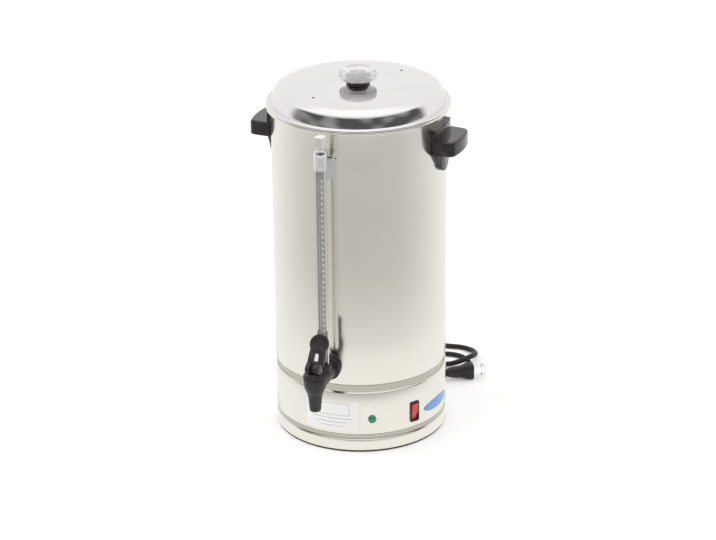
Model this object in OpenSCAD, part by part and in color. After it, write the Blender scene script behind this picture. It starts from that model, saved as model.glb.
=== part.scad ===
// Electric coffee urn: steel tank on a skirted base, lift-off lid, sprung tap, sight gauge and percolator set.
// Millimetres. The origin lies on the tank's axis, on the floor. The tap points to -Y and the lid to +Z.

/* [Body] */
// Outer radius of the tank and of the skirt
body_r = 110; // [104:1:118]
// Thickness of the sheet steel
wall_t = 1; // [0.8:0.1:1.4]
// Height of the skirt's lower edge over the floor
foot_h = 3; // [2:0.5:6]
// Height of the skirt
skirt_h = 81; // [76:1:90]
// Height of the recessed band between the skirt and the tank
band_h = 10; // [8:1:14]
// Height of the tank's visible wall
tank_h = 335; // [325:1:350]
// Depth of the recessed bands
band_depth = 2; // [1.5:0.1:3]
// Radius of the rolled bead on the tank's rim
bead_r = 1.75; // [1.4:0.05:2.2]
// Reach of the rolled rim beyond the tank's wall
rim_reach = 5.8; // [5:0.1:7]

/* [Base] */
// Height of the middle of the narrow band round the skirt, over the skirt's edge
low_band_z = 18.5; // [16:0.5:20]
// Height of that narrow band
low_band_h = 9; // [7:0.5:10]
// Distance of the rubber foot ring inside the skirt's wall
foot_inset = 9; // [8:1:18]
// Width of the foot ring
foot_w = 10; // [6:1:14]
// Radius of the circle on which the tie rods stand
rod_pcd_r = 80; // [70:1:86]
// Radius of the tie rods
rod_r = 2.5; // [2:0.1:3]
// Size across the flats of the rod nuts
rod_nut_af = 8; // [7:0.5:10]

/* [Heater] */
// Inner radius of the well in the tank's bottom
well_r = 33; // [30:1:38]
// Depth of the well
well_depth = 14; // [10:1:16]
// Radius of the aluminium heating plate
plate_r = 31; // [28:1:32]
// Thickness of the heating plate
plate_t = 6; // [5:0.5:7]
// Radius of the heating element's centre line
element_r = 22; // [19:0.5:24]
// Radius of the element's tube
element_tube_r = 3.2; // [2.6:0.1:3.4]
// Distance of the thermostat and the cut-out from the axis
thermostat_pcd_r = 56; // [52:1:62]
// Radius of the thermostat's can
thermostat_r = 8.5; // [7:0.5:10]

/* [Lid] */
// Reach of the lid's hem beyond the tank's wall
hem_reach = 6; // [5.8:0.1:8]
// Rise of the lid from its hem to its flat top
lid_rise = 22; // [18:0.5:26]
// Distance of the flat top's edge inside the tank's wall
lid_top_inset = 8.5; // [6:0.5:12]
// Reach of the shoulder's foot beyond the tank's wall
lid_foot_reach = 1; // [0:0.5:2.5]
// Depth of the lip that drops into the tank
lip_depth = 9; // [6:0.5:14]
// Distance of the steam vents from the axis
vent_pcd_r = 75; // [70:1:80]
// Radius of a steam vent
vent_r = 2; // [1.5:0.1:2.5]
// Radius of the clear knob
knob_r = 23.75; // [20:0.25:26]
// Height of the clear knob
knob_h = 13.5; // [11:0.5:16]
// Radius of the knob's dark collar
collar_r = 15; // [12:0.5:17]
// Height of the collar
collar_h = 5.5; // [4:0.5:7]
// Radius of the knob's screw
stud_r = 2.5; // [2:0.1:3]

/* [Handles] */
// Half width of a handle
handle_hw = 31; // [26:1:34]
// Reach of a handle beyond the tank's wall
handle_reach = 29; // [25:0.5:33]
// How much less a handle reaches at its ends
handle_sweep = 4.5; // [3:0.5:6]
// Distance of the underside of a handle's shelf below the rim
handle_drop = 47.5; // [42:0.5:57]
// Thickness of the shelf
handle_t = 18.5; // [16:0.5:20]
// Height of the backplate's upper edge over the shelf
handle_back_h = 13; // [8:1:15]
// Depth of the tongue below the shelf
tongue_h = 29; // [24:1:34]
// Thickness of the backplate
back_t = 5.5; // [4.5:0.5:7]
// Thickness of the shelf's lip and roof
lip_t = 3.5; // [3:0.5:5]
// Radius of the handle screws
handle_screw_r = 2.5; // [2:0.1:3]

/* [Tap] */
// Height of the shank's axis
tap_z = 117; // [113:0.5:122]
// Distance of the spout's axis in front of the gauge
spout_gap = 31.5; // [30:0.5:38]
// Height of the spout's mouth
spout_z = 82; // [72:0.5:88]
// Outer radius of the spout's mouth
spout_r = 7.25; // [6.5:0.05:8]
// Radius of the bore through the spout and the shank
tap_bore_r = 5; // [4:0.1:5.4]
// Outer radius of the bowl
bowl_r = 14.25; // [13:0.25:16]
// Height of the bowl's rim over the shank's axis
bowl_rise = 9; // [8:0.5:12]
// Outer radius of the shank
shank_r = 11; // [10:0.5:12]
// Radius of the shank's threaded end
thread_r = 7.8; // [7:0.1:8.5]
// Radius of the round flange on the tank's wall
flange_r = 14.5; // [13:0.5:17]
// Height of the ribbed bonnet ring
bonnet_h = 5.5; // [4.5:0.5:8]
// Radius of the valve's stem
stem_r = 2.5; // [2:0.1:3]
// Lift of the valve with the lever pulled right forward
valve_lift = 3; // [2:0.25:3.5]
// Length of the lever from its pin to the middle of its disc
lever_len = 32.5; // [28:0.5:38]
// Gap between the lever, leaning back at rest, and the gauge's glass
lever_gap = 0.4; // [0.3:0.1:3]
// Travel of the lever
lever_travel = 35; // [25:1:40]
// Radius of the lever's disc
disc_r = 12.5; // [10:0.25:14]
// Thickness of the lever's plate
lever_t = 5; // [4:0.5:6]
// Width of the lever's plate
lever_w = 22; // [18:0.5:24]
// Thickness of each of the lever's two cheeks
cheek_t = 5.5; // [3:0.5:6]
// Radius of the lever's pin
pin_r = 1.3; // [1:0.1:1.6]

/* [Gauge] */
// Distance of the gauge from the tank's wall
gauge_gap = 23.5; // [21:0.5:27]
// Outer radius of the glass tube
glass_r = 4.5; // [4:0.1:5]
// Wall of the glass tube
glass_t = 1.3; // [1:0.1:1.6]
// Distance of the gauge guard's upper end below the rim
guard_drop = 36.5; // [33:0.5:53]
// Half width of the guard
guard_hw = 6.9; // [6.2:0.1:8]
// Radius of the sleeve over the guard's upper end
sleeve_r = 8.4; // [7.6:0.1:9]
// Height of the sleeve
sleeve_h = 20; // [15:1:24]
// Size across the flats of the cap nut
cap_af = 14; // [12:0.5:16]
// Height of the cap nut
cap_h = 13.5; // [10:0.5:15]
// Height of the socket that holds the gauge, over the shank's axis
socket_h = 15; // [12:0.5:22]
// Radius of the gauge socket
socket_r = 10; // [9:0.25:11]
// Height of the gauge's wall bracket
bracket_h = 26; // [18:1:30]
// Half width of the bracket's foot on the wall
bracket_hw = 12; // [9:0.5:15]

/* [Percolator] */
// Outer radius of the pump tube
tube_r = 5; // [4:0.1:6]
// Distance of the pump tube's upper end below the rim
tube_drop = 1.5; // [-6:0.5:13]
// Outer radius of the coffee basket
basket_r = 62; // [54:1:72]
// Distance of the basket's floor below the rim
basket_drop = 103.5; // [97:0.5:113]
// Height of the basket
basket_h = 76; // [60:1:84]
// Radius of the pump's foot
pump_foot_r = 29; // [26:0.5:30]
// Running gap between the pieces that lift out
lift_gap = 0.4; // [0.3:0.05:0.6]

/* [Controls] */
// Angle of the rocker switch round the skirt, from the tap
switch_az = 58.2; // [50:0.1:66]
// Height of the switch and the pilot lamp
control_z = 46.5; // [42:0.5:52]
// Width of the switch's bezel
bezel_w = 14; // [13:0.25:16]
// Height of the switch's bezel
bezel_h = 28; // [26:0.5:32]
// Angle of the pilot lamp round the skirt, from the tap
pilot_az = 27.4; // [26:0.1:36]
// Radius of the pilot lamp's lens
pilot_r = 5.3; // [4.5:0.1:6]
// Travel of the rocker
rocker_travel = 20; // [14:1:24]
// Half angle that the front label spans
label_half = 19.5; // [14:0.5:20]
// Height of the front label
label_h = 40; // [30:1:44]
// Angle of the plain badge's middle, from the tap
badge_az = 83; // [80:0.5:90]
// Half angle that the badge spans
badge_half = 16; // [12:0.5:17]
// Height of the badge
badge_h = 14; // [10:1:18]

/* [Cord] */
// Radius of the mains cord
cord_r = 3.5; // [3:0.1:4]
// Height of the cord's gland
gland_z = 30; // [28:0.5:32]
// Outer radius of the gland's flange
gland_r = 10; // [8.5:0.5:12]
// Length of the gland's tapered sleeve
sleeve_len = 33; // [28:1:36]
// Length of the plug's body
plug_len = 34; // [28:1:38]
// Height of the plug's body
plug_h = 22; // [20:1:26]
// Thickness of the plug's body
plug_t = 17; // [15:1:20]

/* [Hidden] */
$fn = 96;
clear = 0.3;
run_gap = 0.05;

// Heights of the body
skirt_z0 = foot_h;
skirt_z1 = skirt_z0 + skirt_h;
band_z1 = skirt_z1 + band_h;
rim_z = band_z1 + tank_h + 2 * bead_r + 1;
wall_in = body_r - wall_t;
band_r = body_r - band_depth;
neck_drop = 6;
cover_z = skirt_z0 + wall_t;
cover_lip = 9;
foot_r = body_r - foot_inset;
floor_z = band_z1 + 2;
well_floor = floor_z - well_depth;
low_z0 = skirt_z0 + low_band_z - low_band_h / 2;
low_z1 = low_z0 + low_band_h;

// Lid
hem_r = body_r + hem_reach;
lid_top_r = body_r - lid_top_inset;
lid_foot_r = body_r + lid_foot_reach;
lid_z = rim_z + clear;
hem_bead = 1.6;
lid_top = lid_z + lid_rise + 2.2;
collar_z = lid_top;
knob_z = collar_z + collar_h;
knob_top = knob_z + knob_h;
knob_round = 2;
knob_under = 1.2;
knob_hollow = 1;
knob_cover = 2.5;
lip_r = wall_in - 0.9;
hem_z = lid_z + hem_bead;
vent_az = -27;

// Pieces inside the base
rod_count = 3;
rod_az0 = 30;
air_count = 12;
air_pcd_r = 50;
plate_z = well_floor - plate_t;
element_arc = 320;
cold_end = 11;
element_end = [element_r * cos(110), element_r * sin(110), 0];
element_start = [element_r * cos(70), element_r * sin(70), 0];
thermostat_az = 100;
cutout_az = -110;
block_at = [30, 50];
earth_at = [-38, 52];
block_y0 = block_at[1] - 10;
block_y1 = block_at[1] + 10;
block_z = cover_z + wall_t + 7;
lead_r = 1.3;
gland_in = body_r - 14;
function polar(r, az, z) = [r * sin(az), -r * cos(az), z];
function beside(az, d) = [-d * cos(az), -d * sin(az), 0];
switch_tab = polar(body_r - 28, switch_az, control_z + 8);
thermostat_tab = polar(thermostat_pcd_r, thermostat_az, floor_z - 19) + beside(thermostat_az, -4);
cutout_tab = polar(thermostat_pcd_r, cutout_az, floor_z - 17) + beside(cutout_az, 4);
pivot_y = body_r - 1.5;
rocker_half = bezel_h / 2 - 2.5;
label_z0 = 30;
badge_z = 43.5;
gland_neck_r = 6;

// Handles
handle_z = rim_z - handle_drop;
handle_screw_z = [handle_z - 16, handle_z + 10];
shelf_arc_r = (handle_hw * handle_hw + handle_sweep * handle_sweep) / (2 * handle_sweep);
shelf_c = body_r + handle_reach - shelf_arc_r;
corner_r = 8;
corner_y = handle_hw - corner_r;
corner_x = shelf_c + sqrt((shelf_arc_r - corner_r) * (shelf_arc_r - corner_r) - corner_y * corner_y);
blend_y = corner_y * shelf_arc_r / (shelf_arc_r - corner_r);
tip_r = 12;
screw_cover = 1.2;
screw_head_r = 5;
head_seat = sqrt(wall_in * wall_in - screw_head_r * screw_head_r);

// Tap
gauge_y = body_r + gauge_gap;
tap_reach = gauge_y + spout_gap;
lever_tip = norm([lever_len + disc_r, lever_t / 2]);
lever_lean = asin((spout_gap - glass_r - lever_gap) / lever_tip) - atan2(lever_t / 2, lever_len + disc_r);
bonnet_z = tap_z + bowl_rise;
bonnet_top = bonnet_z + bonnet_h + 2;
cam_e = valve_lift / (cos(60) - cos(60 + lever_travel));
cam_r = cam_e + 1.2;
pin_z = bonnet_top + cam_r - cam_e * cos(60) + clear;
seat_z = tap_z - 7;
cup_r = 8.5;
cup_h = 10;
bowl_bore = 10.2;
head_w = 7;
shank_end = body_r - 16;
nut_r = 12;
seal_in = wall_in - 4;
head_flat = sqrt(body_r * body_r - flange_r * flange_r);
cheek_in = head_w / 2 + clear;
spring_turns = 4;
spring_r = 4.6;
spring_wire = 0.5;
spring_z0 = seat_z + 4.5 + spring_wire;
spring_z1 = bonnet_z - 5 + bonnet_h + 2 - spring_wire;

// Gauge
guard_top = rim_z - guard_drop;
socket_z = tap_z + socket_h;
glass_z0 = socket_z - 11;
sleeve_top = guard_top + sleeve_h;
cap_z = sleeve_top + 5;
guard_z0 = socket_z;
guard_t = 0.8;
guard_lip = 3;
guard_reach = norm([guard_hw, guard_lip]) + run_gap;
bracket_mid = guard_top - 12 + bracket_h / 2 - 12;
bracket_web = 5;
screw_seat = sqrt(wall_in * wall_in - 3.4 * 3.4);

// Percolator set
tube_top = rim_z - tube_drop;
basket_z = rim_z - basket_drop;
basket_tube_in = tube_r + lift_gap;
basket_tube_out = tube_r + lift_gap + 1;
basket_top = basket_z + basket_h;
cover_seat = basket_top + clear;
cover_r = basket_r + 1;
cover_rim = 5;
cover_rise = 3;
collar_in = tube_r + lift_gap;
collar_rise = 8;
cover_rows = 3;
cover_row_gap = 13;
cover_hole_r = 1.2;

// Cord: the route on the floor, chosen by hand. The coil joins the two stretches.
gland_y = body_r + sleeve_len + 3;
lead_route = [[0, 146, 30], [0, 156.2, 29.2], [0, 164, 26], [1, 171.9, 19.6], [3.1, 181.4, 12.8],
    [7.1, 193.9, 7.1], [17.1, 204.9, 4], [31.4, 209.9, 3.5], [45, 210, 3.5], [58.7, 211, 3.5],
    [72.8, 206.4, 3.5], [82.9, 195.7, 3.5], [86.7, 181.2, 3.5], [83.2, 166.9, 3.5], [73, 155.8, 3.5],
    [58, 151.1, 3.5], [42.1, 152, 3.5], [26, 151, 3.5], [10, 149, 3.5], [-6, 146, 3.5], [-22, 141, 3.5],
    [-38, 137, 3.5], [-50, 136, 3.5]];
tail_route = [[-50, 220, 10.5], [-37, 220.5, 9.5], [-21.3, 223, 6.5], [-4.9, 227, 4], [11.7, 231.9, 3.5],
    [27.8, 235, 3.5], [43.1, 236, 3.5], [58.3, 237.6, 3.5], [73.2, 233.1, 4], [83.7, 222, 6],
    [87.3, 207.8, 9], [83.4, 193.4, 10.7], [72.8, 181.1, 8], [58.6, 176.5, 4.5], [46.4, 178.2, 3.5],
    [34.3, 180.5, 3.8], [20.4, 177.1, 6], [9, 166, 9.5], [4.8, 150.8, 10.8], [8.9, 135.3, 10.5],
    [20.3, 124.2, 10], [34, 120.6, 10], [44, 122, 10.5], [50.8, 125.1, 11]];
coil_at = [-52, 178];
coil_mid_r = 38.5;
plug_dir = [0.867, 0.5];
plug_face = [103, 155.1];
blade_len = 16;
tail_len = 26;

// Turns its children to the angle az round the axis, with +Y pointing outwards there
module at_az(az) rotate([0, 0, az - 180]) children();

// A solid of revolution from a closed outline of [radius, height] points
module turned(points) rotate_extrude() polygon(points);

// A plain ring or tube
module ring(ro, ri, z0, z1) translate([0, 0, z0]) difference() {
    cylinder(r = ro, h = z1 - z0);
    translate([0, 0, -1]) cylinder(r = ri, h = z1 - z0 + 2);
}

// A cylinder along +Y from y0 to y1 at height z
module rod_y(r, y0, y1, x = 0, z = 0) translate([x, y0, z]) rotate([-90, 0, 0]) cylinder(r = r, h = y1 - y0);

// A cylinder along X, centred
module rod_x(r, w, y = 0, z = 0) translate([-w / 2, y, z]) rotate([0, 90, 0]) cylinder(r = r, h = w);

// A hexagon prism of the given size across its flats
module hex(af, h) rotate([0, 0, 30]) cylinder(r = af / sqrt(3), h = h, $fn = 6);

function unit(v) = v / norm(v);
function heading(p, i) = unit(p[min(i + 1, len(p) - 1)] - p[max(i - 1, 0)]);
function across(n, t) = unit(n - t * (n * t));
function sides_of(p, first) =
    [for (i = 0, n = across(first, heading(p, 0)); i < len(p);
          i = i + 1, n = i < len(p) ? across(n, heading(p, i)) : n) n];

// A tube of n sides swept along the points p
module swept(p, r, n = 8, first = [1, 0.3, 0.2]) {
    side = sides_of(p, first);
    rings = [for (i = [0:len(p) - 1]) for (k = [0:n - 1])
        let (a = 360 * k / n, t = heading(p, i))
            p[i] + r * (cos(a) * side[i] + sin(a) * cross(t, side[i]))];
    skin = [for (i = [0:len(p) - 2]) for (k = [0:n - 1])
        [i * n + k, i * n + (k + 1) % n, (i + 1) * n + (k + 1) % n, (i + 1) * n + k]];
    start = [[for (k = [n - 1:-1:0]) k]];
    finish = [[for (k = [0:n - 1]) (len(p) - 1) * n + k]];
    polyhedron(rings, concat(skin, start, finish), convexity = 10);
}

// ---- Body ----

module tank() color("gainsboro") difference() {
    union() {
        turned([[band_r, skirt_z1 - neck_drop], [band_r, band_z1 - 1], [body_r, band_z1 + 1],
            [body_r, rim_z - 2 * bead_r], [body_r + 2, rim_z - wall_t],
            [body_r + rim_reach - bead_r, rim_z - wall_t], [body_r + rim_reach - bead_r, rim_z],
            [body_r + 1.4, rim_z], [wall_in, rim_z - 2 * bead_r], [wall_in, floor_z],
            [band_r - wall_t, band_z1 - 0.6], [band_r - wall_t, skirt_z1 - neck_drop]]);
        rotate_extrude() translate([body_r + rim_reach - bead_r, rim_z - bead_r]) circle(r = bead_r);
    }
    rod_y(thread_r + 0.2, -body_r - 5, -body_r + 10, 0, tap_z);
    rod_y(1.6, -body_r - 5, -body_r + 10, 0, bracket_mid);
    for (side = [-1, 1]) for (z = handle_screw_z)
        rotate([0, 0, 90 * side]) rod_y(handle_screw_r + 0.1, -body_r - 5, -body_r + 10, 0, z);
}

// The pressed bottom with the well for the pump. Its edge is welded to the tank's wall.
module tank_bottom() color("silver") turned([[0, well_floor], [well_r + wall_t, well_floor],
    [well_r + wall_t, floor_z], [wall_in, floor_z], [wall_in, floor_z + 8],
    [wall_in - wall_t, floor_z + 8], [wall_in - wall_t, floor_z + wall_t],
    [well_r, floor_z + wall_t], [well_r, well_floor + wall_t], [0, well_floor + wall_t]]);

module switch_hole() translate([-bezel_w / 2 + 1, body_r - 30, control_z - bezel_h / 2 + 1])
    cube([bezel_w - 2, 40, bezel_h - 2]);

module base_skirt() color("gainsboro") difference() {
    turned([[wall_in - 5, skirt_z0], [body_r, skirt_z0], [body_r, low_z0], [band_r + 0.3, low_z0 + 1.7],
        [band_r + 0.3, low_z1 - 1.7], [body_r, low_z1], [body_r, skirt_z1 - band_depth],
        [band_r, skirt_z1], [band_r, skirt_z1 - wall_t], [wall_in, skirt_z1 - band_depth - wall_t],
        [wall_in, low_z1 + 0.4], [band_r + 0.3 - wall_t, low_z1 - 1.3],
        [band_r + 0.3 - wall_t, low_z0 + 1.3], [wall_in, low_z0 - 0.4], [wall_in, cover_z],
        [wall_in - 5, cover_z]]);
    at_az(switch_az) switch_hole();
    at_az(pilot_az) rod_y(pilot_r - 0.9, body_r - 12, body_r + 8, 0, control_z);
    at_az(180) rod_y(gland_neck_r, body_r - 12, body_r + 8, 0, gland_z);
}

module bottom_cover() color("dimgray") difference() {
    turned([[0, cover_z], [wall_in, cover_z], [wall_in, cover_z + cover_lip],
        [wall_in - wall_t, cover_z + cover_lip], [wall_in - wall_t, cover_z + wall_t],
        [0, cover_z + wall_t]]);
    for (i = [0:rod_count - 1]) rotate([0, 0, rod_az0 + i * 360 / rod_count])
        translate([rod_pcd_r, 0, cover_z - 1]) cylinder(r = rod_r + 0.1, h = wall_t + 2);
    for (i = [0:air_count - 1]) rotate([0, 0, i * 360 / air_count])
        translate([air_pcd_r, 0, cover_z - 1]) cylinder(r = 3, h = wall_t + 2, $fn = 32);
}

// The rubber ring that the urn stands on
module foot_ring() color("black") turned([[foot_r - foot_w, 0], [foot_r - 1, 0], [foot_r, 1],
    [foot_r, cover_z], [foot_r - foot_w, cover_z]]);

module tie_rods() color("silver") for (i = [0:rod_count - 1])
    rotate([0, 0, rod_az0 + i * 360 / rod_count]) translate([rod_pcd_r, 0, foot_h - 1])
        cylinder(r = rod_r, h = floor_z - foot_h + 1);

module rod_nuts() color("silver") for (i = [0:rod_count - 1])
    rotate([0, 0, rod_az0 + i * 360 / rod_count]) for (z = [cover_z - 2.5, cover_z + wall_t])
        translate([rod_pcd_r, 0, z]) difference() {
            hex(rod_nut_af, 2.5);
            translate([0, 0, -1]) cylinder(r = rod_r, h = 5);
        }

// ---- Heater and controls inside the base ----

module heating_plate() color("lightgray") difference() {
    translate([0, 0, plate_z]) cylinder(r = plate_r, h = plate_t);
    rotate_extrude() translate([element_r, plate_z]) circle(r = element_tube_r);
}

// The tubular element, with its two cold ends turned down
module heating_element() color("gray") rotate([0, 0, 90 + (360 - element_arc) / 2]) {
    rotate_extrude(angle = element_arc) translate([element_r, plate_z]) circle(r = element_tube_r);
    for (a = [0, element_arc]) rotate([0, 0, a]) translate([element_r, 0, plate_z - cold_end])
        cylinder(r = element_tube_r - 0.4, h = cold_end + 1);
}

module heater_terminals() color("tan") rotate([0, 0, 90 + (360 - element_arc) / 2])
    for (a = [0, element_arc]) rotate([0, 0, a]) translate([element_r, 0, plate_z - cold_end]) {
        translate([0, 0, -2.5]) cylinder(r = 2.6, h = 2.5);
        translate([-2.5, -0.4, -10]) cube([5, 0.8, 7.6]);
    }

// A disc can with a flange under the tank's bottom and two tabs below it
module disc_can(az, r, h) at_az(az) translate([0, thermostat_pcd_r, 0]) {
    translate([0, 0, floor_z - 1.2]) cylinder(r = r + 1.5, h = 1.2);
    translate([0, 0, floor_z - h]) cylinder(r = r, h = h - 1);
    for (x = [-4, 4]) translate([x - 0.4, -2.5, floor_z - h - 8]) cube([0.8, 5, 8.1]);
}
module thermostat() color("darkgray") disc_can(thermostat_az, thermostat_r, 11);
module thermal_cutout() color("peru") disc_can(cutout_az, thermostat_r - 1.5, 9);

// The terminal block on the cover: a bar with three wire entries on each side and three screws
module terminal_block() color("ivory") difference() {
    translate([block_at[0] - 20, block_at[1] - 10, cover_z + wall_t]) cube([40, 20, 16]);
    for (i = [-1:1]) {
        rod_y(2, block_at[1] - 12, block_at[1] + 12, block_at[0] + 12 * i, cover_z + wall_t + 7);
        translate([block_at[0] + 12 * i, block_at[1], cover_z + wall_t + 10]) cylinder(r = 2.6, h = 8);
    }
}

module earth_stud() color("goldenrod") translate([earth_at[0], earth_at[1], cover_z + wall_t]) {
    cylinder(r = 2, h = 12);
    hex(7, 3.4);
    translate([0, 0, 2.6]) cylinder(r = 4.5, h = 0.8);
}

// Leads from the gland to the block and on to the switch, the lamp, the heater and the thermostat
module internal_leads() color("firebrick") {
    for (i = [-1:1]) swept([[3 * i, gland_in - 0.8, gland_z], [4 * i + 2, 84, gland_z - 3], [10 * i + 14, 72, 20],
        [11 * i + 26, 66, 14], [12 * i + 30, block_y1 + 2, block_z],
        [12 * i + 30, block_y1 - 3, block_z]], lead_r, 6);
    swept([[18, block_y0 + 3, block_z], [18, block_y0 - 2, block_z], [24, 28, 14], [44, 4, 22],
        [60, -22, 38], [64, -36, 50], switch_tab], lead_r, 6);
    swept([[30, block_y0 + 3, block_z], [30, block_y0 - 2, block_z], [26, 26, 20], [16, 12, 40],
        [6, 14, 44], [-5, 20, 48], element_end + [0, 0, plate_z - 24], element_end + [0, 0, plate_z - 21]],
        lead_r, 6);
    swept([[42, block_y0 + 3, block_z], [42, block_y0 - 2, block_z], [46, 28, 20], [52, 18, 44],
        thermostat_tab - [0, 0, 8], thermostat_tab], lead_r, 6);
    swept([cutout_tab, cutout_tab - [0, 0, 8], [-42, 30, 56], [-18, 32, 44], [2, 26, 44],
        element_start + [0, 0, plate_z - 26], element_start + [0, 0, plate_z - 21]], lead_r, 6);
}

// Rocker switch, with its pivot along the skirt's tangent
module switch_housing() color("black") at_az(switch_az) difference() {
    union() {
        translate([-bezel_w / 2, body_r - 1, control_z - bezel_h / 2]) cube([bezel_w, 2.5, bezel_h]);
        intersection() {
            switch_hole();
            translate([-bezel_w, body_r - 20, 0]) cube([2 * bezel_w, 20, skirt_z1]);
        }
        for (z = [-8, 0, 8]) translate([-2.4, body_r - 28, control_z + z - 0.4]) cube([4.8, 9, 0.8]);
    }
    difference() {
        cylinder(r = body_r, h = skirt_z1);
        switch_hole();
    }
    translate([-bezel_w / 2 + 2, body_r - 9, control_z - bezel_h / 2 + 2])
        cube([bezel_w - 4, 20, bezel_h - 4]);
    rod_x(1.2 + run_gap, bezel_w - 2.4, pivot_y, control_z);
}

module rocker() color("red") at_az(switch_az) translate([0, pivot_y, control_z])
    rotate([-rocker_travel / 2, 0, 0]) {
        translate([-bezel_w / 2 + 2 + clear, 0, 0]) rotate([90, 0, 90])
            linear_extrude(bezel_w - 4 - 2 * clear) polygon([[2.2, -rocker_half], [3.4, 0],
                [2.2, rocker_half], [-1, rocker_half - 0.8], [-5, 3], [-5, -3], [-1, 0.8 - rocker_half]]);
        rod_x(1.2, bezel_w - 2.8);
    }

module pilot_housing() color("black") at_az(pilot_az) {
    difference() {
        union() {
            rod_y(pilot_r - 1, body_r - 22, body_r + 0.2, 0, control_z);
            for (x = [-1.6, 1.6]) rod_y(0.5, body_r - 28, body_r - 21, x, control_z);
        }
        rod_y(pilot_r - 2, body_r - 18, body_r + 2, 0, control_z);
    }
}

module pilot_lens() color("limegreen") at_az(pilot_az) {
    rod_y(pilot_r - 2, body_r - 8, body_r + 0.2, 0, control_z);
    translate([0, body_r + 0.2, control_z]) rotate([-90, 0, 0]) rotate_extrude()
        polygon([[0, 0], [pilot_r, 0], [pilot_r, 1.2], [pilot_r - 1.2, 2.6], [0, 3.4]]);
}

// A sticker that follows the skirt's wall between two angles
module wall_patch(az, half, z0, z1, t) at_az(az) rotate([0, 0, 90 - half])
    rotate_extrude(angle = 2 * half) translate([body_r + run_gap, z0]) square([t, z1 - z0]);

module front_label() color("white") wall_patch(0, label_half, label_z0, label_z0 + label_h, 0.3);

module badge() color("steelblue") wall_patch(badge_az, badge_half, badge_z - badge_h / 2,
    badge_z + badge_h / 2, 0.4);

// ---- Cord and plug ----

module cord_gland() color("black") at_az(180) difference() {
    translate([0, 0, gland_z]) rotate([-90, 0, 0]) rotate_extrude() polygon([[cord_r, gland_in],
        [gland_neck_r, gland_in], [gland_neck_r, body_r], [gland_r, body_r], [gland_r, body_r + 3],
        [cord_r + 3.2, body_r + 5], [cord_r + 1, gland_y], [cord_r, gland_y]]);
}

module gland_nut() color("black") at_az(180) difference() {
    translate([0, body_r - 9, gland_z]) rotate([-90, 0, 0]) hex(17, 5);
    rod_y(gland_neck_r, body_r - 12, body_r, 0, gland_z);
}

// The lead starts inside the gland
module cord_lead() color("black")
    swept(concat([[0, gland_in, gland_z], [0, body_r + 3, gland_z]], lead_route), cord_r, 8);
module cord_tail() color("black") swept(tail_route, cord_r, 8);

module cord_coil() color("black") translate([coil_at[0], coil_at[1], 0])
    turned([[coil_mid_r - 2 * cord_r, 0.5], [coil_mid_r + 2 * cord_r, 0.5],
        [coil_mid_r + 2 * cord_r, 4 * cord_r], [coil_mid_r - 2 * cord_r, 4 * cord_r]]);

// The plug points along plug_dir. Local X runs from the tail to the face.
module at_plug() translate([plug_face[0], plug_face[1], plug_h / 2])
    rotate([0, 0, atan2(plug_dir[1], plug_dir[0])]) children();

module plug_body() color("black") at_plug() {
    translate([-12, -plug_t / 2, -plug_h / 2]) cube([12, plug_t, plug_h]);
    translate([-plug_len, -plug_t / 2 + 1, -plug_h / 2 + 1.5]) cube([plug_len - 12, plug_t - 2, plug_h - 3]);
    translate([-plug_len - tail_len, 0, 0]) rotate([0, 90, 0])
        cylinder(r1 = cord_r + 1, r2 = plug_t / 2 - 2.5, h = tail_len);
}

module plug_pins() color("silver") at_plug() for (z = [-6.35, 6.35])
    translate([0, -3.2, z - 0.75]) cube([blade_len, 6.4, 1.5]);

// ---- Handles ----

module shelf_plan() intersection() {
    translate([shelf_c, 0]) circle(r = shelf_arc_r);
    union() {
        translate([body_r - 6, -handle_hw]) square([corner_x - body_r + 6, 2 * handle_hw]);
        translate([body_r - 6, -blend_y]) square([handle_reach + 10, 2 * blend_y]);
        for (s = [-1, 1]) translate([corner_x, s * corner_y]) circle(r = corner_r);
    }
}

module handle_shape() difference() {
    union() {
        translate([0, 0, handle_z]) linear_extrude(handle_t) shelf_plan();
        intersection() {
            cylinder(r = body_r + back_t, h = handle_z + 60);
            translate([body_r - 8, 0, 0]) rotate([90, 0, 90]) linear_extrude(20) union() {
                polygon([[-handle_hw, handle_z + handle_t + handle_back_h],
                    [handle_hw, handle_z + handle_t + handle_back_h], [handle_hw, handle_z + 2],
                    [tip_r * 0.9, handle_z - tongue_h + tip_r * 0.6],
                    [-tip_r * 0.9, handle_z - tongue_h + tip_r * 0.6], [-handle_hw, handle_z + 2]]);
                translate([0, handle_z - tongue_h + tip_r]) circle(r = tip_r);
            }
        }
    }
    translate([0, 0, -1]) cylinder(r = body_r, h = rim_z + 10);
    translate([0, 0, handle_z - 1]) linear_extrude(handle_t - lip_t + 1) difference() {
        intersection() {
            translate([shelf_c, 0]) circle(r = shelf_arc_r - lip_t);
            translate([body_r, -handle_hw + lip_t]) square([50, 2 * (handle_hw - lip_t)]);
        }
        circle(r = body_r + back_t);
    }
    for (z = handle_screw_z) rotate([0, 0, 90])
        rod_y(handle_screw_r, -body_r - back_t + screw_cover, -body_r + 1, 0, z);
}

module handle_right() color("black") handle_shape();
module handle_left() color("black") mirror([1, 0, 0]) handle_shape();

// Screws from inside the tank, with their heads seated on its wall
module handle_screws() color("silver") for (side = [-1, 1]) for (z = handle_screw_z)
    rotate([0, 0, 90 * side]) {
        rod_y(handle_screw_r, -body_r - back_t + screw_cover, -head_seat + 1, 0, z);
        rod_y(screw_head_r, -head_seat, -head_seat + 3, 0, z);
    }

// ---- Tap ----

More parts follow.
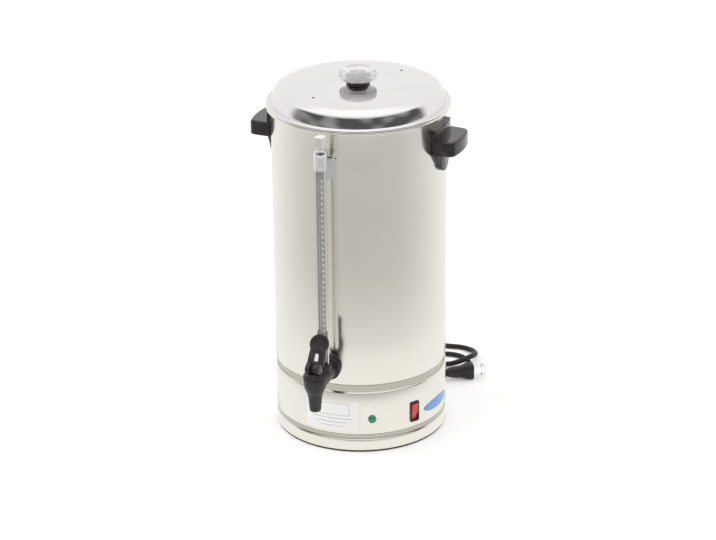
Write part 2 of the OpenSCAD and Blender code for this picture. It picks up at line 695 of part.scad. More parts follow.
module tap_body() color("black") difference() {
    union() {
        translate([0, -tap_reach, 0]) turned([[0, spout_z], [spout_r, spout_z], [8.4, spout_z + 12],
            [9.7, spout_z + 22], [bowl_r - 0.9, spout_z + 31], [bowl_r, spout_z + 37],
            [bowl_r, bonnet_z], [0, bonnet_z]]);
        rod_y(shank_r, -tap_reach, -body_r - 3, 0, tap_z);
        rod_y(flange_r, -body_r - 7, -body_r - 2, 0, tap_z);
        rod_y(thread_r, -body_r - 4, -shank_end, 0, tap_z);
        translate([0, -gauge_y, tap_z]) cylinder(r = socket_r, h = socket_h);
    }
    translate([0, -tap_reach, spout_z - 1]) cylinder(r = tap_bore_r, h = 40);
    translate([0, -tap_reach, seat_z]) cylinder(r = bowl_bore, h = 60);
    translate([0, -tap_reach, bonnet_z]) cylinder(r = bowl_r + clear, h = 30);
    rod_y(tap_bore_r - 0.4, -tap_reach, -shank_end + 1, 0, tap_z);
    translate([0, -gauge_y, tap_z]) cylinder(r = 2, h = socket_h + 2);
    translate([0, -gauge_y, glass_z0]) cylinder(r = glass_r + 1.5, h = 30);
}

module shank_seals() color("dimgray") {
    difference() {
        rod_y(flange_r - 0.5, -body_r - 2, -head_flat, 0, tap_z);
        rod_y(thread_r, -body_r - 6, -body_r + 6, 0, tap_z);
        cylinder(r = body_r, h = rim_z);
    }
    difference() {
        rod_y(nut_r, -wall_in, -seal_in, 0, tap_z);
        rod_y(thread_r, -body_r - 6, -body_r + 8, 0, tap_z);
        difference() {
            cylinder(r = body_r + 5, h = rim_z);
            translate([0, 0, -1]) cylinder(r = wall_in, h = rim_z + 2);
        }
    }
}

module shank_nut() color("silver") difference() {
    translate([0, -seal_in, tap_z]) rotate([-90, 0, 0]) hex(21, 6);
    rod_y(thread_r, -body_r, -body_r + 30, 0, tap_z);
}

// The screwed ring and dome that close the bowl and guide the stem
module bonnet() color("black") translate([0, -tap_reach, 0]) difference() {
    turned([[0, bonnet_z - 4], [bowl_bore - 0.1, bonnet_z - 4], [bowl_bore - 0.1, bonnet_z],
        [bowl_r, bonnet_z], [bowl_r + 0.3, bonnet_z + bonnet_h - 1], [bowl_r - 0.8, bonnet_z + bonnet_h],
        [bowl_r - 4.2, bonnet_z + bonnet_h], [bowl_r - 5.2, bonnet_top], [0, bonnet_top]]);
    translate([0, 0, bonnet_z - 6]) cylinder(r = stem_r + run_gap, h = 30);
    translate([0, 0, bonnet_z - 5]) cylinder(r = 6, h = bonnet_h + 2);
}

// The stem has a flat head that carries the lever's pin
module valve_stem() color("black") translate([0, -tap_reach, 0]) difference() {
    union() {
        translate([0, 0, seat_z + 3]) cylinder(r = stem_r, h = pin_z - 3 - seat_z - 3 + 1);
        intersection() {
            union() {
                rod_x(4.2, head_w, 0, pin_z);
                translate([-head_w / 2, -4.2, pin_z - 3.2]) cube([head_w, 8.4, 3.2]);
            }
            translate([-head_w / 2, -5, bonnet_top + clear]) cube([head_w, 10, 20]);
        }
    }
    rod_x(pin_r, head_w + 2, 0, pin_z);
}

// The rubber cup that closes the seat
module seat_cup() color("dimgray") translate([0, -tap_reach, 0]) difference() {
    turned([[0, seat_z + run_gap], [6.5, seat_z + run_gap], [cup_r, seat_z + 3], [cup_r, seat_z + cup_h - 4],
        [cup_r - 1.5, seat_z + cup_h - 4], [cup_r - 2.5, seat_z + 4.5], [0, seat_z + 4.5]]);
    translate([0, 0, seat_z + 3]) cylinder(r = stem_r, h = 20);
}

module valve_spring() color("silver") translate([0, -tap_reach, 0])
    swept([for (i = [0:16 * spring_turns]) let (a = i * 360 / 16)
        [spring_r * cos(a), spring_r * sin(a),
         spring_z0 + (spring_z1 - spring_z0) * i / (16 * spring_turns)]], spring_wire, 6, [1, 0, 0]);

// The lever: a plate with a window and a ribbed disc, on two cheeks whose heels lift the stem.
// Local Z runs from the pin to the disc, and local Y points to the tank.
module lever() color("black") translate([0, -tap_reach, pin_z]) difference() {
    union() {
        for (s = [-1, 1]) translate([s > 0 ? cheek_in : -cheek_in - cheek_t, 0, 0]) rotate([90, 0, 90])
            linear_extrude(cheek_t) union() {
                translate([-cam_e * sin(60), cam_e * cos(60)]) circle(r = cam_r);
                circle(r = pin_r + 1.8);
                polygon([[-cam_e * sin(60), cam_e * cos(60) - cam_r + 1.4], [pin_r + 1.7, 0],
                    [5, 9], [-3, 10], [-cam_e * sin(60) - cam_r + 1, cam_e * cos(60)]]);
            }
        rotate([-lever_lean, 0, 0]) translate([0, -lever_t / 2, 0]) {
            difference() {
                translate([-lever_w / 2, 0, 6]) cube([lever_w, lever_t, lever_len - 8]);
                translate([-3.4, -1, 10.5]) cube([6, lever_t + 2, 10]);
            }
            translate([0, lever_t, lever_len]) rotate([90, 0, 0]) cylinder(r = disc_r, h = lever_t);
        }
    }
    rod_x(pin_r + run_gap, 40);
    rod_x(5.2, 2 * cheek_in, 0, 0);
}

module lever_pin() color("silver") translate([0, -tap_reach, pin_z])
    rod_x(pin_r, 2 * (cheek_in + cheek_t));

// ---- Sight gauge ----

module gauge_glass() color("lightcyan") translate([0, -gauge_y, 0])
    ring(glass_r, glass_r - glass_t, glass_z0, cap_z + 4);

module gauge_seals() color("dimgray") translate([0, -gauge_y, 0]) {
    ring(glass_r + 1.5, glass_r, glass_z0, socket_z);
    ring(glass_r + 1.5, glass_r, sleeve_top - 8, sleeve_top - 1);
}

// The bright channel round the glass, open to the front
module gauge_guard() color("whitesmoke") translate([0, -gauge_y, guard_z0])
    linear_extrude(guard_top - guard_z0) difference() {
        union() {
            circle(r = guard_hw);
            translate([-guard_hw, -guard_lip]) square([2 * guard_hw, guard_lip]);
        }
        circle(r = guard_hw - guard_t);
        translate([-guard_hw + guard_t, -20]) square([2 * (guard_hw - guard_t), 20]);
        translate([-20, -20 - guard_lip]) square([40, 20]);
    }

// A curved strip behind the glass that carries the scale
module gauge_scale() color("slategray") translate([0, -gauge_y, guard_z0])
    linear_extrude(guard_top - guard_z0) difference() {
        circle(r = guard_hw - guard_t);
        circle(r = guard_hw - guard_t - 0.5);
        translate([-20, -40]) square([40, 38]);
    }

module gauge_sleeve() color("whitesmoke") translate([0, -gauge_y, 0]) difference() {
    turned([[guard_reach, guard_top - 6], [sleeve_r, guard_top - 6], [sleeve_r, sleeve_top - 3],
        [glass_r + 2.5, sleeve_top], [glass_r + 0.1, sleeve_top], [glass_r + 0.1, sleeve_top - 1],
        [glass_r + 1.5, sleeve_top - 1], [glass_r + 1.5, guard_top], [guard_reach, guard_top]]);
}

module gauge_cap() color("gainsboro") translate([0, -gauge_y, 0]) difference() {
    union() {
        translate([0, 0, sleeve_top]) cylinder(r = glass_r + 1.5, h = cap_z - sleeve_top + 1);
        translate([0, 0, cap_z]) hex(cap_af, cap_h - 1);
        translate([0, 0, cap_z + cap_h - 1.5]) cylinder(r1 = cap_af / 2, r2 = cap_af / 2 - 2, h = 1.5);
    }
    translate([0, 0, sleeve_top - 1]) cylinder(r = glass_r + 0.1, h = cap_z + 5 - sleeve_top);
    translate([0, 0, sleeve_top - 1]) cylinder(r = 1, h = 60);
}

module gauge_bracket() color("whitesmoke") difference() {
    union() {
        intersection() {
            cylinder(r = body_r + 1.5, h = rim_z);
            translate([-bracket_hw, -body_r - 10, bracket_mid - bracket_h / 2])
                cube([2 * bracket_hw, 20, bracket_h]);
        }
        translate([-bracket_web, -gauge_y, bracket_mid - bracket_h / 2])
            cube([2 * bracket_web, gauge_gap + 6, bracket_h]);
    }
    cylinder(r = body_r, h = rim_z);
    translate([0, -gauge_y, 0]) cylinder(r = sleeve_r, h = rim_z);
    rod_y(1.6, -body_r - 12, -body_r + 5, 0, bracket_mid);
}

module bracket_screw() color("silver") {
    rod_y(1.6, -body_r - 8, -screw_seat + 1, 0, bracket_mid);
    rod_y(3.4, -screw_seat, -screw_seat + 2, 0, bracket_mid);
}

// ---- Percolator set ----

module pump_foot() color("silver") difference() {
    turned([[0, well_floor + wall_t + clear], [pump_foot_r, well_floor + wall_t + clear],
        [pump_foot_r, well_floor + wall_t + 3], [tube_r + 6, floor_z + 4], [tube_r + 4, floor_z + 12],
        [0, floor_z + 12]]);
    turned([[0, 0], [pump_foot_r - 2, 0], [pump_foot_r - 2, well_floor + wall_t + 2.4],
        [tube_r + 4, floor_z + 1], [0, floor_z + 1]]);
    cylinder(r = tube_r, h = rim_z);
}

module pump_tube() color("silver") {
    ring(tube_r, tube_r - 1, floor_z - 1, tube_top);
    ring(tube_r + 3, tube_r, basket_z - 2 - clear, basket_z - clear);
}

module basket() color("lightgray") difference() {
    turned([[basket_tube_in, basket_z], [basket_r, basket_z], [basket_r, basket_top - 1],
        [basket_r + 2, basket_top - 1], [basket_r + 2, basket_top], [basket_r - wall_t, basket_top],
        [basket_r - wall_t, basket_z + wall_t], [basket_tube_out, basket_z + wall_t],
        [basket_tube_out, basket_top - 4], [basket_tube_in, basket_top - 4]]);
    for (i = [1:4]) for (k = [0:6 * i - 1]) rotate([0, 0, k * 60 / i])
        translate([6 + i * 12, 0, basket_z - 1]) cylinder(r = 1.5, h = 3, $fn = 16);
}

// The perforated spreader that lies on the basket, a flat plate inside a raised rim
module basket_cover() color("silver") difference() {
    translate([0, 0, cover_seat]) turned([[collar_in, cover_rise], [cover_r - cover_rim, cover_rise],
        [cover_r - cover_rim, 0], [cover_r, 0], [cover_r, wall_t], [cover_r - cover_rim + wall_t, wall_t],
        [cover_r - cover_rim + wall_t, cover_rise + wall_t], [collar_in + wall_t, cover_rise + wall_t],
        [collar_in + wall_t, collar_rise], [collar_in, collar_rise]]);
    for (i = [1:cover_rows]) for (k = [0:8 * i - 1]) rotate([0, 0, k * 45 / i])
        translate([cover_row_gap * (i + 0.5), 0, cover_seat]) cylinder(r = cover_hole_r, h = 8, $fn = 16);
}

// ---- Lid ----

function shoulder(t) = [lid_foot_r - (lid_foot_r - lid_top_r) * t,
    lid_z + 3 + (lid_rise - 4.5) * pow(sin(90 * t), 0.85)];
module lid() color("gainsboro") difference() {
    union() {
        turned(concat([[hem_r - hem_bead, lid_z + 2.2], [hem_r - hem_bead, lid_z + 3.2]],
            [for (i = [0:6]) shoulder(i / 6)],
            [[lid_top_r - 4, lid_top - 1.4], [lid_top_r - 20, lid_top - 0.5], [collar_r, lid_top], [0, lid_top],
             [0, lid_top - wall_t], [collar_r, lid_top - wall_t], [lid_top_r - 20, lid_top - 0.5 - wall_t],
             [lid_top_r - 4.6, lid_top - 1.4 - wall_t]],
            [for (i = [6:-1:0]) shoulder(i / 6) - [wall_t, i == 0 ? 0.8 : wall_t * i / 6]],
            [[lid_foot_r - wall_t, lid_z + 2.2]]));
        rotate_extrude() translate([hem_r - hem_bead, hem_z]) circle(r = hem_bead);
    }
    for (s = [0, 180]) at_az(vent_az + s) translate([0, vent_pcd_r, lid_top - 8])
        cylinder(r = vent_r, h = 20);
    cylinder(r = stud_r, h = 600);
}

module lid_lip() color("silver") turned([[lip_r - wall_t, lid_z - lip_depth], [lip_r, lid_z - lip_depth],
    [lip_r, lid_z + 1.2], [lid_foot_r - 0.4, lid_z + 1.2], [lid_foot_r - 0.4, lid_z + 2.2],
    [lip_r - wall_t, lid_z + 2.2]]);

module knob_collar() color("black") difference() {
    turned([[0, collar_z], [collar_r, collar_z], [collar_r, collar_z + 2], [collar_r - 2.5, knob_z],
        [0, knob_z]]);
    cylinder(r = stud_r, h = 600);
}

module knob() color("aliceblue", 0.5) difference() {
    turned([[0, knob_z], [collar_r - 3, knob_z], [knob_r - knob_round, knob_z + knob_under],
        [knob_r, knob_z + knob_under + knob_round], [knob_r, knob_top - 2 * knob_round],
        [knob_r - 0.6 * knob_round, knob_top - 0.6 * knob_round], [knob_r - 2 * knob_round, knob_top],
        [knob_r - 3 * knob_round, knob_top], [knob_r - 4 * knob_round, knob_top - knob_hollow],
        [0, knob_top - knob_hollow]]);
    translate([0, 0, knob_z - 1]) cylinder(r = stud_r, h = knob_h - knob_cover - knob_hollow + 1);
}

module knob_stud() color("silver") {
    translate([0, 0, lid_top - 9]) cylinder(r = stud_r, h = knob_top - knob_hollow - knob_cover - lid_top + 9);
}

module knob_nut() color("silver") difference() {
    union() {
        translate([0, 0, lid_top - wall_t - 1]) cylinder(r = 8, h = 1);
        translate([0, 0, lid_top - wall_t - 5]) hex(8, 4.5);
    }
    cylinder(r = stud_r, h = 600);
}

tank();
tank_bottom();
base_skirt();
bottom_cover();
foot_ring();
tie_rods();
rod_nuts();
heating_plate();
heating_element();
heater_terminals();
thermostat();
thermal_cutout();
terminal_block();
earth_stud();
internal_leads();
switch_housing();
rocker();
pilot_housing();
pilot_lens();
front_label();
badge();
cord_gland();
gland_nut();
cord_lead();
cord_coil();
cord_tail();
plug_body();
plug_pins();
handle_right();
handle_left();
handle_screws();
tap_body();
shank_seals();
shank_nut();
bonnet();
valve_stem();
seat_cup();
valve_spring();
lever();
lever_pin();
gauge_glass();
gauge_seals();
gauge_guard();
gauge_scale();
gauge_sleeve();
gauge_cap();
gauge_bracket();
bracket_screw();
pump_foot();
pump_tube();
basket();
basket_cover();
lid();
lid_lip();
knob();
knob_collar();
knob_stud();
knob_nut();
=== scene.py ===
import math
import bpy
from mathutils import Matrix, Vector


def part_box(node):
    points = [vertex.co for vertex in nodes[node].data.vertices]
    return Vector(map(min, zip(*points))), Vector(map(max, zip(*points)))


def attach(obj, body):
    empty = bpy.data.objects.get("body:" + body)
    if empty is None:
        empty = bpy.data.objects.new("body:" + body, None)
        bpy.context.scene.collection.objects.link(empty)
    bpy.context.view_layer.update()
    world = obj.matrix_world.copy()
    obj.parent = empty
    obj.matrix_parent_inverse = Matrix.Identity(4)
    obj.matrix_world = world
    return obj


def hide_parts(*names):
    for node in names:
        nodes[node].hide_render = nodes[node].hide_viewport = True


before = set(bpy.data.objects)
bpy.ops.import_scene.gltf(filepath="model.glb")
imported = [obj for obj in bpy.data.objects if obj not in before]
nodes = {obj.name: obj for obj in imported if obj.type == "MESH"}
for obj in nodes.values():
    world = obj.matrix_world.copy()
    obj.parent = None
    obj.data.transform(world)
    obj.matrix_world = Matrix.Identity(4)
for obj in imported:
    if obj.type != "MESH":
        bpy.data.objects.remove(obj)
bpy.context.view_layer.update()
mm = 0.001
seam = 0.000004
tiny = 0.01
print("frame loaded,", len(nodes), "parts")


def clearAll():
    if bpy.context.mode != "OBJECT":
        bpy.ops.object.mode_set(mode="OBJECT")
    bpy.ops.object.select_all(action="DESELECT")


def chooseAll():
    bpy.ops.mesh.select_all(action="SELECT")


def bake():
    bpy.ops.object.transform_apply(location=True, rotation=True, scale=True)


def smoothBy(degrees):
    bpy.ops.object.shade_smooth_by_angle(angle=math.radians(degrees))


def metres(point):
    return [c * mm for c in point]


def pick(piece):
    clearAll()
    piece.select_set(True)
    bpy.context.view_layer.objects.active = piece


def lowOf(node, axis):
    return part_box(node)[0][axis] / mm


def highOf(node, axis):
    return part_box(node)[1][axis] / mm


def startChain(name, point):
    # a single vertex to draw from: a small plane merged to its middle
    clearAll()
    bpy.ops.mesh.primitive_plane_add(size=mm, location=metres(point))
    piece = bpy.context.object
    piece.name = piece.data.name = name
    bake()
    bpy.ops.object.mode_set(mode="EDIT")
    bpy.ops.mesh.select_mode(type="VERT")
    chooseAll()
    bpy.ops.mesh.merge(type="CENTER")
    return piece


def drawOn(points):
    # draws edges onwards from the chosen vertex, through points in millimetres
    for a, b in zip(points, points[1:]):
        step = [(q - p) * mm for p, q in zip(a, b)]
        bpy.ops.mesh.extrude_vertices_move(TRANSFORM_OT_translate={"value": step})


def drawChain(name, points, closed=False):
    # draws a line of edges through points in millimetres and stays in edit mode
    piece = startChain(name, points[0])
    drawOn(points)
    chooseAll()
    if closed:
        bpy.ops.mesh.select_mode(type="VERT")
        bpy.ops.mesh.edge_face_add()
    return piece


def settle(piece, smooth=40):
    # closes seams, turns the faces outwards and leaves edit mode with the piece at the origin
    chooseAll()
    bpy.ops.mesh.remove_doubles(threshold=seam)
    bpy.ops.mesh.normals_make_consistent(inside=False)
    bpy.ops.object.mode_set(mode="OBJECT")
    pick(piece)
    bake()
    smoothBy(smooth)
    return piece


def turnPiece(name, profile, steps=96, centre=(0, 0), smooth=40):
    # spins a profile of [radius, height] round a vertical axis through centre
    cx, cy = centre
    points = [(cx + r, cy, z) for r, z in profile]
    if profile[0][0] or profile[-1][0]:
        points.append(points[0])
    piece = drawChain(name, points)
    bpy.ops.mesh.spin(steps=steps, angle=2 * math.pi, center=(cx * mm, cy * mm, 0), axis=(0, 0, 1))
    return settle(piece, smooth)


def liftPiece(name, outline, move, smooth=40):
    # fills an outline of [x, y, z] points and draws it out along move
    piece = drawChain(name, outline, closed=True)
    chooseAll()
    bpy.ops.mesh.extrude_region_move(TRANSFORM_OT_translate={"value": metres(move)})
    return settle(piece, smooth)


def modify(piece, kind, **values):
    pick(piece)
    modifier = piece.modifiers.new(kind.lower(), kind)
    for key, value in values.items():
        setattr(modifier, key, value)
    bpy.ops.object.modifier_apply(modifier=modifier.name)
    return piece


def roundEdges(piece, width, segments=3, angle=30):
    modify(piece, "BEVEL", width=width * mm, segments=segments, limit_method="ANGLE",
           angle_limit=math.radians(angle), harden_normals=False)
    smoothBy(40)
    return piece


def carve(piece, cutter, operation="DIFFERENCE"):
    modify(piece, "BOOLEAN", operation=operation, object=cutter, solver="EXACT")
    bpy.data.objects.remove(cutter)
    return piece


def place(piece, turn=(0, 0, 0), at=(0, 0, 0)):
    # turns a piece about the origin, then moves it, and bakes both into its mesh
    pick(piece)
    piece.rotation_euler = [math.radians(a) for a in turn]
    piece.location = metres(at)
    bake()
    return piece


def copyPiece(piece, name):
    twin = piece.copy()
    twin.data = piece.data.copy()
    twin.name = twin.data.name = name
    bpy.context.scene.collection.objects.link(twin)
    return twin


def joinPieces(name, pieces):
    clearAll()
    for piece in pieces:
        piece.select_set(True)
    bpy.context.view_layer.objects.active = pieces[0]
    bpy.ops.object.join()
    pieces[0].name = pieces[0].data.name = name
    return pieces[0]


def chooseEdges(piece, test):
    # selects the edges whose two ends pass the test, and stays in edit mode
    pick(piece)
    bpy.ops.object.mode_set(mode="EDIT")
    bpy.ops.mesh.select_mode(type="EDGE")
    bpy.ops.mesh.select_all(action="DESELECT")
    bpy.ops.object.mode_set(mode="OBJECT")
    points = piece.data.vertices
    for edge in piece.data.edges:
        a, b = (points[i].co / mm for i in edge.vertices)
        edge.select = bool(test(a) and test(b))
    bpy.ops.object.mode_set(mode="EDIT")


def bevelEdges(piece, width, segments, test):
    chooseEdges(piece, test)
    bpy.ops.mesh.bevel(offset=width * mm, segments=segments, affect="EDGES")
    bpy.ops.object.mode_set(mode="OBJECT")
    smoothBy(40)
    return piece


def spanRings(name, rings, smooth=40):
    # a skin over closed rings of [x, y, z] points, with both ends filled
    piece = None
    for ring in rings:
        points = list(ring) + [ring[0]]
        if piece is None:
            piece = drawChain(name, points)
        else:
            bpy.ops.mesh.select_all(action="DESELECT")
            bpy.ops.mesh.primitive_plane_add(size=mm, location=metres(points[0]))
            bpy.ops.mesh.merge(type="CENTER")
            drawOn(points)
    chooseAll()
    bpy.ops.mesh.remove_doubles(threshold=seam)
    chooseAll()
    bpy.ops.mesh.bridge_edge_loops()
    chooseAll()
    bpy.ops.mesh.fill_holes(sides=0)
    return settle(piece, smooth)


def addRod(name, radius, start, finish, vertices=64):
    # a plain cylinder between two points, for cutting and joining
    a, b = Vector(start) * mm, Vector(finish) * mm
    turn = (b - a).to_track_quat("Z", "Y").to_euler()
    clearAll()
    bpy.ops.mesh.primitive_cylinder_add(vertices=vertices, radius=radius * mm, depth=(b - a).length,
                                        location=(a + b) / 2, rotation=turn)
    rod = bpy.context.object
    rod.name = rod.data.name = name
    bake()
    return rod


def addBlock(name, low, high):
    clearAll()
    middle = [(a + b) / 2 * mm for a, b in zip(low, high)]
    bpy.ops.mesh.primitive_cube_add(size=1, location=middle)
    block = bpy.context.object
    block.scale = [(b - a) * mm for a, b in zip(low, high)]
    block.name = block.data.name = name
    bake()
    return block


def arc(cx, cy, radius, start, finish, steps):
    angles = [math.radians(start + (finish - start) * i / steps) for i in range(steps + 1)]
    return [(cx + radius * math.cos(a), cy + radius * math.sin(a)) for a in angles]


def offset(r, z, steps):
    # profile points, each given as a step of [radius, height] away from r and z
    return [(r + a, z + b) for a, b in steps]


def azimuth(degrees, radius, height):
    # a point round the urn: 0 is the tap, 90 the right handle
    a = math.radians(degrees)
    return (radius * math.sin(a), -radius * math.cos(a), height)


def dress(piece, material, body=None, replaces=()):
    piece.data.materials.clear()
    piece.data.materials.append(looks[material])
    if body:
        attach(piece, body)
    if replaces:
        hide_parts(*replaces)
    return piece


# camera

photoCamera = {"distance": 3222.4, "height": 1565.7, "azimuth": 20.45, "yaw": -0.048,
               "pitch": 22.879, "roll": -0.645, "lens": 137.2, "sensor": 36}


def makeCamera():
    c = photoCamera
    yaw, pitch, roll = (math.radians(c[k]) for k in ("yaw", "pitch", "roll"))
    ahead = Vector((math.sin(yaw) * math.cos(pitch), math.cos(yaw) * math.cos(pitch), -math.sin(pitch)))
    right = ahead.cross(Vector((0, 0, 1))).normalized()
    up = right.cross(ahead)
    axes = (right * math.cos(roll) + up * math.sin(roll),
            up * math.cos(roll) - right * math.sin(roll), -ahead)
    turn = Matrix(axes).transposed().to_4x4()
    bpy.ops.object.camera_add()
    camera = bpy.context.object
    camera.name = "photoCamera"
    camera.data.sensor_width = c["sensor"]
    camera.data.lens = c["lens"]
    swing = Matrix.Rotation(math.radians(c["azimuth"]), 4, "Z")
    camera.matrix_world = swing @ Matrix.Translation((0, -c["distance"] * mm, c["height"] * mm)) @ turn
    camera.data.clip_end = 50
    bpy.context.scene.camera = camera


clearAll()
makeCamera()
print("camera placed")


# shader node groups

def newGroup(name, inputs, outputs):
    # a node group that takes a vector and named numbers, and gives named numbers
    group = bpy.data.node_groups.new(name, "ShaderNodeTree")
    group.interface.new_socket("Vector", in_out="INPUT", socket_type="NodeSocketVector")
    for label, value in inputs.items():
        socket = group.interface.new_socket(label, in_out="INPUT", socket_type="NodeSocketFloat")
        socket.default_value = value
    for label in outputs:
        group.interface.new_socket(label, in_out="OUTPUT", socket_type="NodeSocketFloat")
    return group, group.nodes.new("NodeGroupInput"), group.nodes.new("NodeGroupOutput")


def feed(tree, node, values):
    # gives each named input its plain value, or a link from another node
    for key, value in values.items():
        if isinstance(value, bpy.types.NodeSocket):
            tree.links.new(value, node.inputs[key])
        else:
            node.inputs[key].default_value = value
    return node


def mathNode(tree, operation, a, b=0.5, clamp=False):
    node = tree.nodes.new("ShaderNodeMath")
    node.operation = operation
    node.use_clamp = clamp
    return feed(tree, node, {0: a, 1: b}).outputs[0]


def times(tree, a, b, clamp=False):
    return mathNode(tree, "MULTIPLY", a, b, clamp)


def plus(tree, a, b, clamp=False):
    return mathNode(tree, "ADD", a, b, clamp)


def minus(tree, a, b):
    return mathNode(tree, "SUBTRACT", a, b)


def noiseNode(tree, vector, scale, detail, rough):
    node = tree.nodes.new("ShaderNodeTexNoise")
    values = {"Detail": detail, "Roughness": rough, "Scale": scale, "Vector": vector}
    return feed(tree, node, values).outputs["Fac"]


def splitVector(tree, vector):
    return feed(tree, tree.nodes.new("ShaderNodeSeparateXYZ"), {0: vector}).outputs


def makeBrushGroup():
    # fine drawn lines running up the unrolled wall, with a slow drift of tone
    group, start, end = newGroup("drawnLines", {"Stretch": 0.03}, ("Lines", "Drift"))
    at = start.outputs["Vector"]
    x, y, z = splitVector(group, at)
    angle = mathNode(group, "ARCTAN2", x, times(group, y, -1.0))
    join = feed(group, group.nodes.new("ShaderNodeCombineXYZ"),
                {"X": times(group, angle, 0.11), "Y": times(group, z, start.outputs["Stretch"])})
    fine = noiseNode(group, join.outputs[0], 2600.0, 3.0, 0.6)
    wide = noiseNode(group, join.outputs[0], 340.0, 2.0, 0.5)
    feed(group, end, {"Lines": plus(group, times(group, fine, 0.7), times(group, wide, 0.3)),
                      "Drift": noiseNode(group, at, 9.0, 3.0, 0.55)})
    return group


def makeHandlingGroup():
    # faint smears and hairline scratches left by wiping and handling
    group, start, end = newGroup("handling", {"Scale": 30.0}, ("Smears", "Scratches"))
    at, scale = start.outputs["Vector"], start.outputs["Scale"]
    smear = noiseNode(group, at, scale, 4.0, 0.6)
    stretch = feed(group, group.nodes.new("ShaderNodeMapping"),
                   {"Rotation": (0.5, 0.9, 0.4), "Scale": (1.0, 26.0, 26.0), "Vector": at})
    hair = noiseNode(group, stretch.outputs[0], times(group, scale, 2.0), 2.0, 0.5)
    feed(group, end, {"Smears": mathNode(group, "POWER", smear, 1.6),
                      "Scratches": times(group, minus(group, hair, 0.66), 5.0, True)})
    return group


def makeMouldGroup():
    # the fine uneven skin of a moulded plastic or rubber piece, with dust in its low spots
    group, start, end = newGroup("mouldSkin", {"Grain": 1800.0}, ("Skin", "Flow", "Dust"))
    at = start.outputs["Vector"]
    dust = noiseNode(group, at, 260.0, 5.0, 0.7)
    feed(group, end, {"Skin": noiseNode(group, at, start.outputs["Grain"], 2.0, 0.5),
                      "Flow": noiseNode(group, at, 60.0, 3.0, 0.5),
                      "Dust": times(group, minus(group, dust, 0.56), 4.0, True)})
    return group


drawnLines = makeBrushGroup()
handling = makeHandlingGroup()
mouldSkin = makeMouldGroup()


# materials

def newMaterial(name):
    material = bpy.data.materials.new(name)
    material.use_nodes = True
    tree = material.node_tree
    tree.nodes.clear()
    shader = tree.nodes.new("ShaderNodeBsdfPrincipled")
    out = tree.nodes.new("ShaderNodeOutputMaterial")
    tree.links.new(shader.outputs[0], out.inputs["Surface"])
    return material, tree, shader, tree.nodes.new("ShaderNodeTexCoord").outputs["Object"]


def useGroup(tree, group, vector, **values):
    node = tree.nodes.new("ShaderNodeGroup")
    node.node_tree = group
    return feed(tree, node, {"Vector": vector, **values}).outputs


def spread(tree, value, low, high, fromLow=0.3, fromHigh=0.7):
    values = {"Value": value, "From Min": fromLow, "From Max": fromHigh, "To Min": low, "To Max": high}
    return feed(tree, tree.nodes.new("ShaderNodeMapRange"), values).outputs[0]


def tint(tree, value, first, second):
    node = tree.nodes.new("ShaderNodeMix")
    node.data_type = "RGBA"
    return feed(tree, node, {"Factor": value, "A": (*first, 1), "B": (*second, 1)}).outputs["Result"]


def bump(tree, shader, height, strength, distance):
    values = {"Strength": strength, "Distance": distance, "Height": height}
    node = feed(tree, tree.nodes.new("ShaderNodeBump"), values)
    tree.links.new(node.outputs[0], shader.inputs["Normal"])


def ramp(tree, value, low, high):
    node = tree.nodes.new("ShaderNodeMapRange")
    node.interpolation_type = "SMOOTHSTEP"
    return feed(tree, node, {"Value": value, "From Min": low, "From Max": high}).outputs[0]


def paintGrooveShade(tree, at, colour):
    # painted shade: the pressed bands lie behind the wall's face, and their colour is darkened there
    face = grooves["face"]
    x, y = splitVector(tree, at)[:2]
    radius = mathNode(tree, "SQRT", plus(tree, times(tree, x, x), times(tree, y, y)))
    depth = ramp(tree, radius, (face - grooves["deep"]) * mm, (face - grooves["start"]) * mm)
    node = tree.nodes.new("ShaderNodeMix")
    node.data_type = "RGBA"
    node.blend_type = "MULTIPLY"
    feed(tree, node, {"Factor": 1, "A": colour, "B": tint(tree, depth, grooves["shade"], (1, 1, 1))})
    return node.outputs["Result"]


def sheetMetal(name, dark, light, rough, lines, anisotropy=0.0, paintedGrooveShade=False):
    material, tree, shader, at = newMaterial(name)
    drawn = useGroup(tree, drawnLines, at)
    used = useGroup(tree, handling, at, Scale=22.0)
    tone = plus(tree, times(tree, drawn["Lines"], 0.55), times(tree, drawn["Drift"], 0.45))
    colour = tint(tree, spread(tree, tone, 0, 1), dark, light)
    if paintedGrooveShade:
        colour = paintGrooveShade(tree, at, colour)
    gloss = plus(tree, spread(tree, drawn["Lines"], *rough), times(tree, used["Smears"], rough[1] * 0.25))
    feed(tree, shader, {"Metallic": 1.0, "Anisotropic": anisotropy, "Base Color": colour, "Roughness": gloss})
    bump(tree, shader, drawn["Lines"], lines, 0.00002)
    return material


def polishedMetal(name, colour, shade, rough):
    material, tree, shader, at = newMaterial(name)
    used = useGroup(tree, handling, at, Scale=26.0)
    smears = spread(tree, used["Smears"], *rough, 0.2, 0.6)
    feed(tree, shader, {"Metallic": 1.0, "Base Color": tint(tree, used["Smears"], colour, shade),
                        "Roughness": plus(tree, smears, times(tree, used["Scratches"], rough[1] * 0.6))})
    bump(tree, shader, used["Smears"], 0.04, 0.0001)
    return material


def moulded(name, dark, light, rough, grain, relief, coat=0.0, dusty=0.5, ior=1.5):
    material, tree, shader, at = newMaterial(name)
    skin = useGroup(tree, mouldSkin, at, Grain=grain)
    used = useGroup(tree, handling, at, Scale=60.0)
    base = plus(tree, spread(tree, skin["Flow"], 0, 0.6), times(tree, skin["Dust"], dusty), True)
    gloss = plus(tree, spread(tree, skin["Flow"], *rough), times(tree, used["Scratches"], 0.08))
    feed(tree, shader, {"Coat Weight": coat, "Coat Roughness": 0.08, "IOR": ior,
                        "Base Color": tint(tree, base, dark, light), "Roughness": gloss})
    bump(tree, shader, skin["Skin"], relief, 0.0001)
    return material


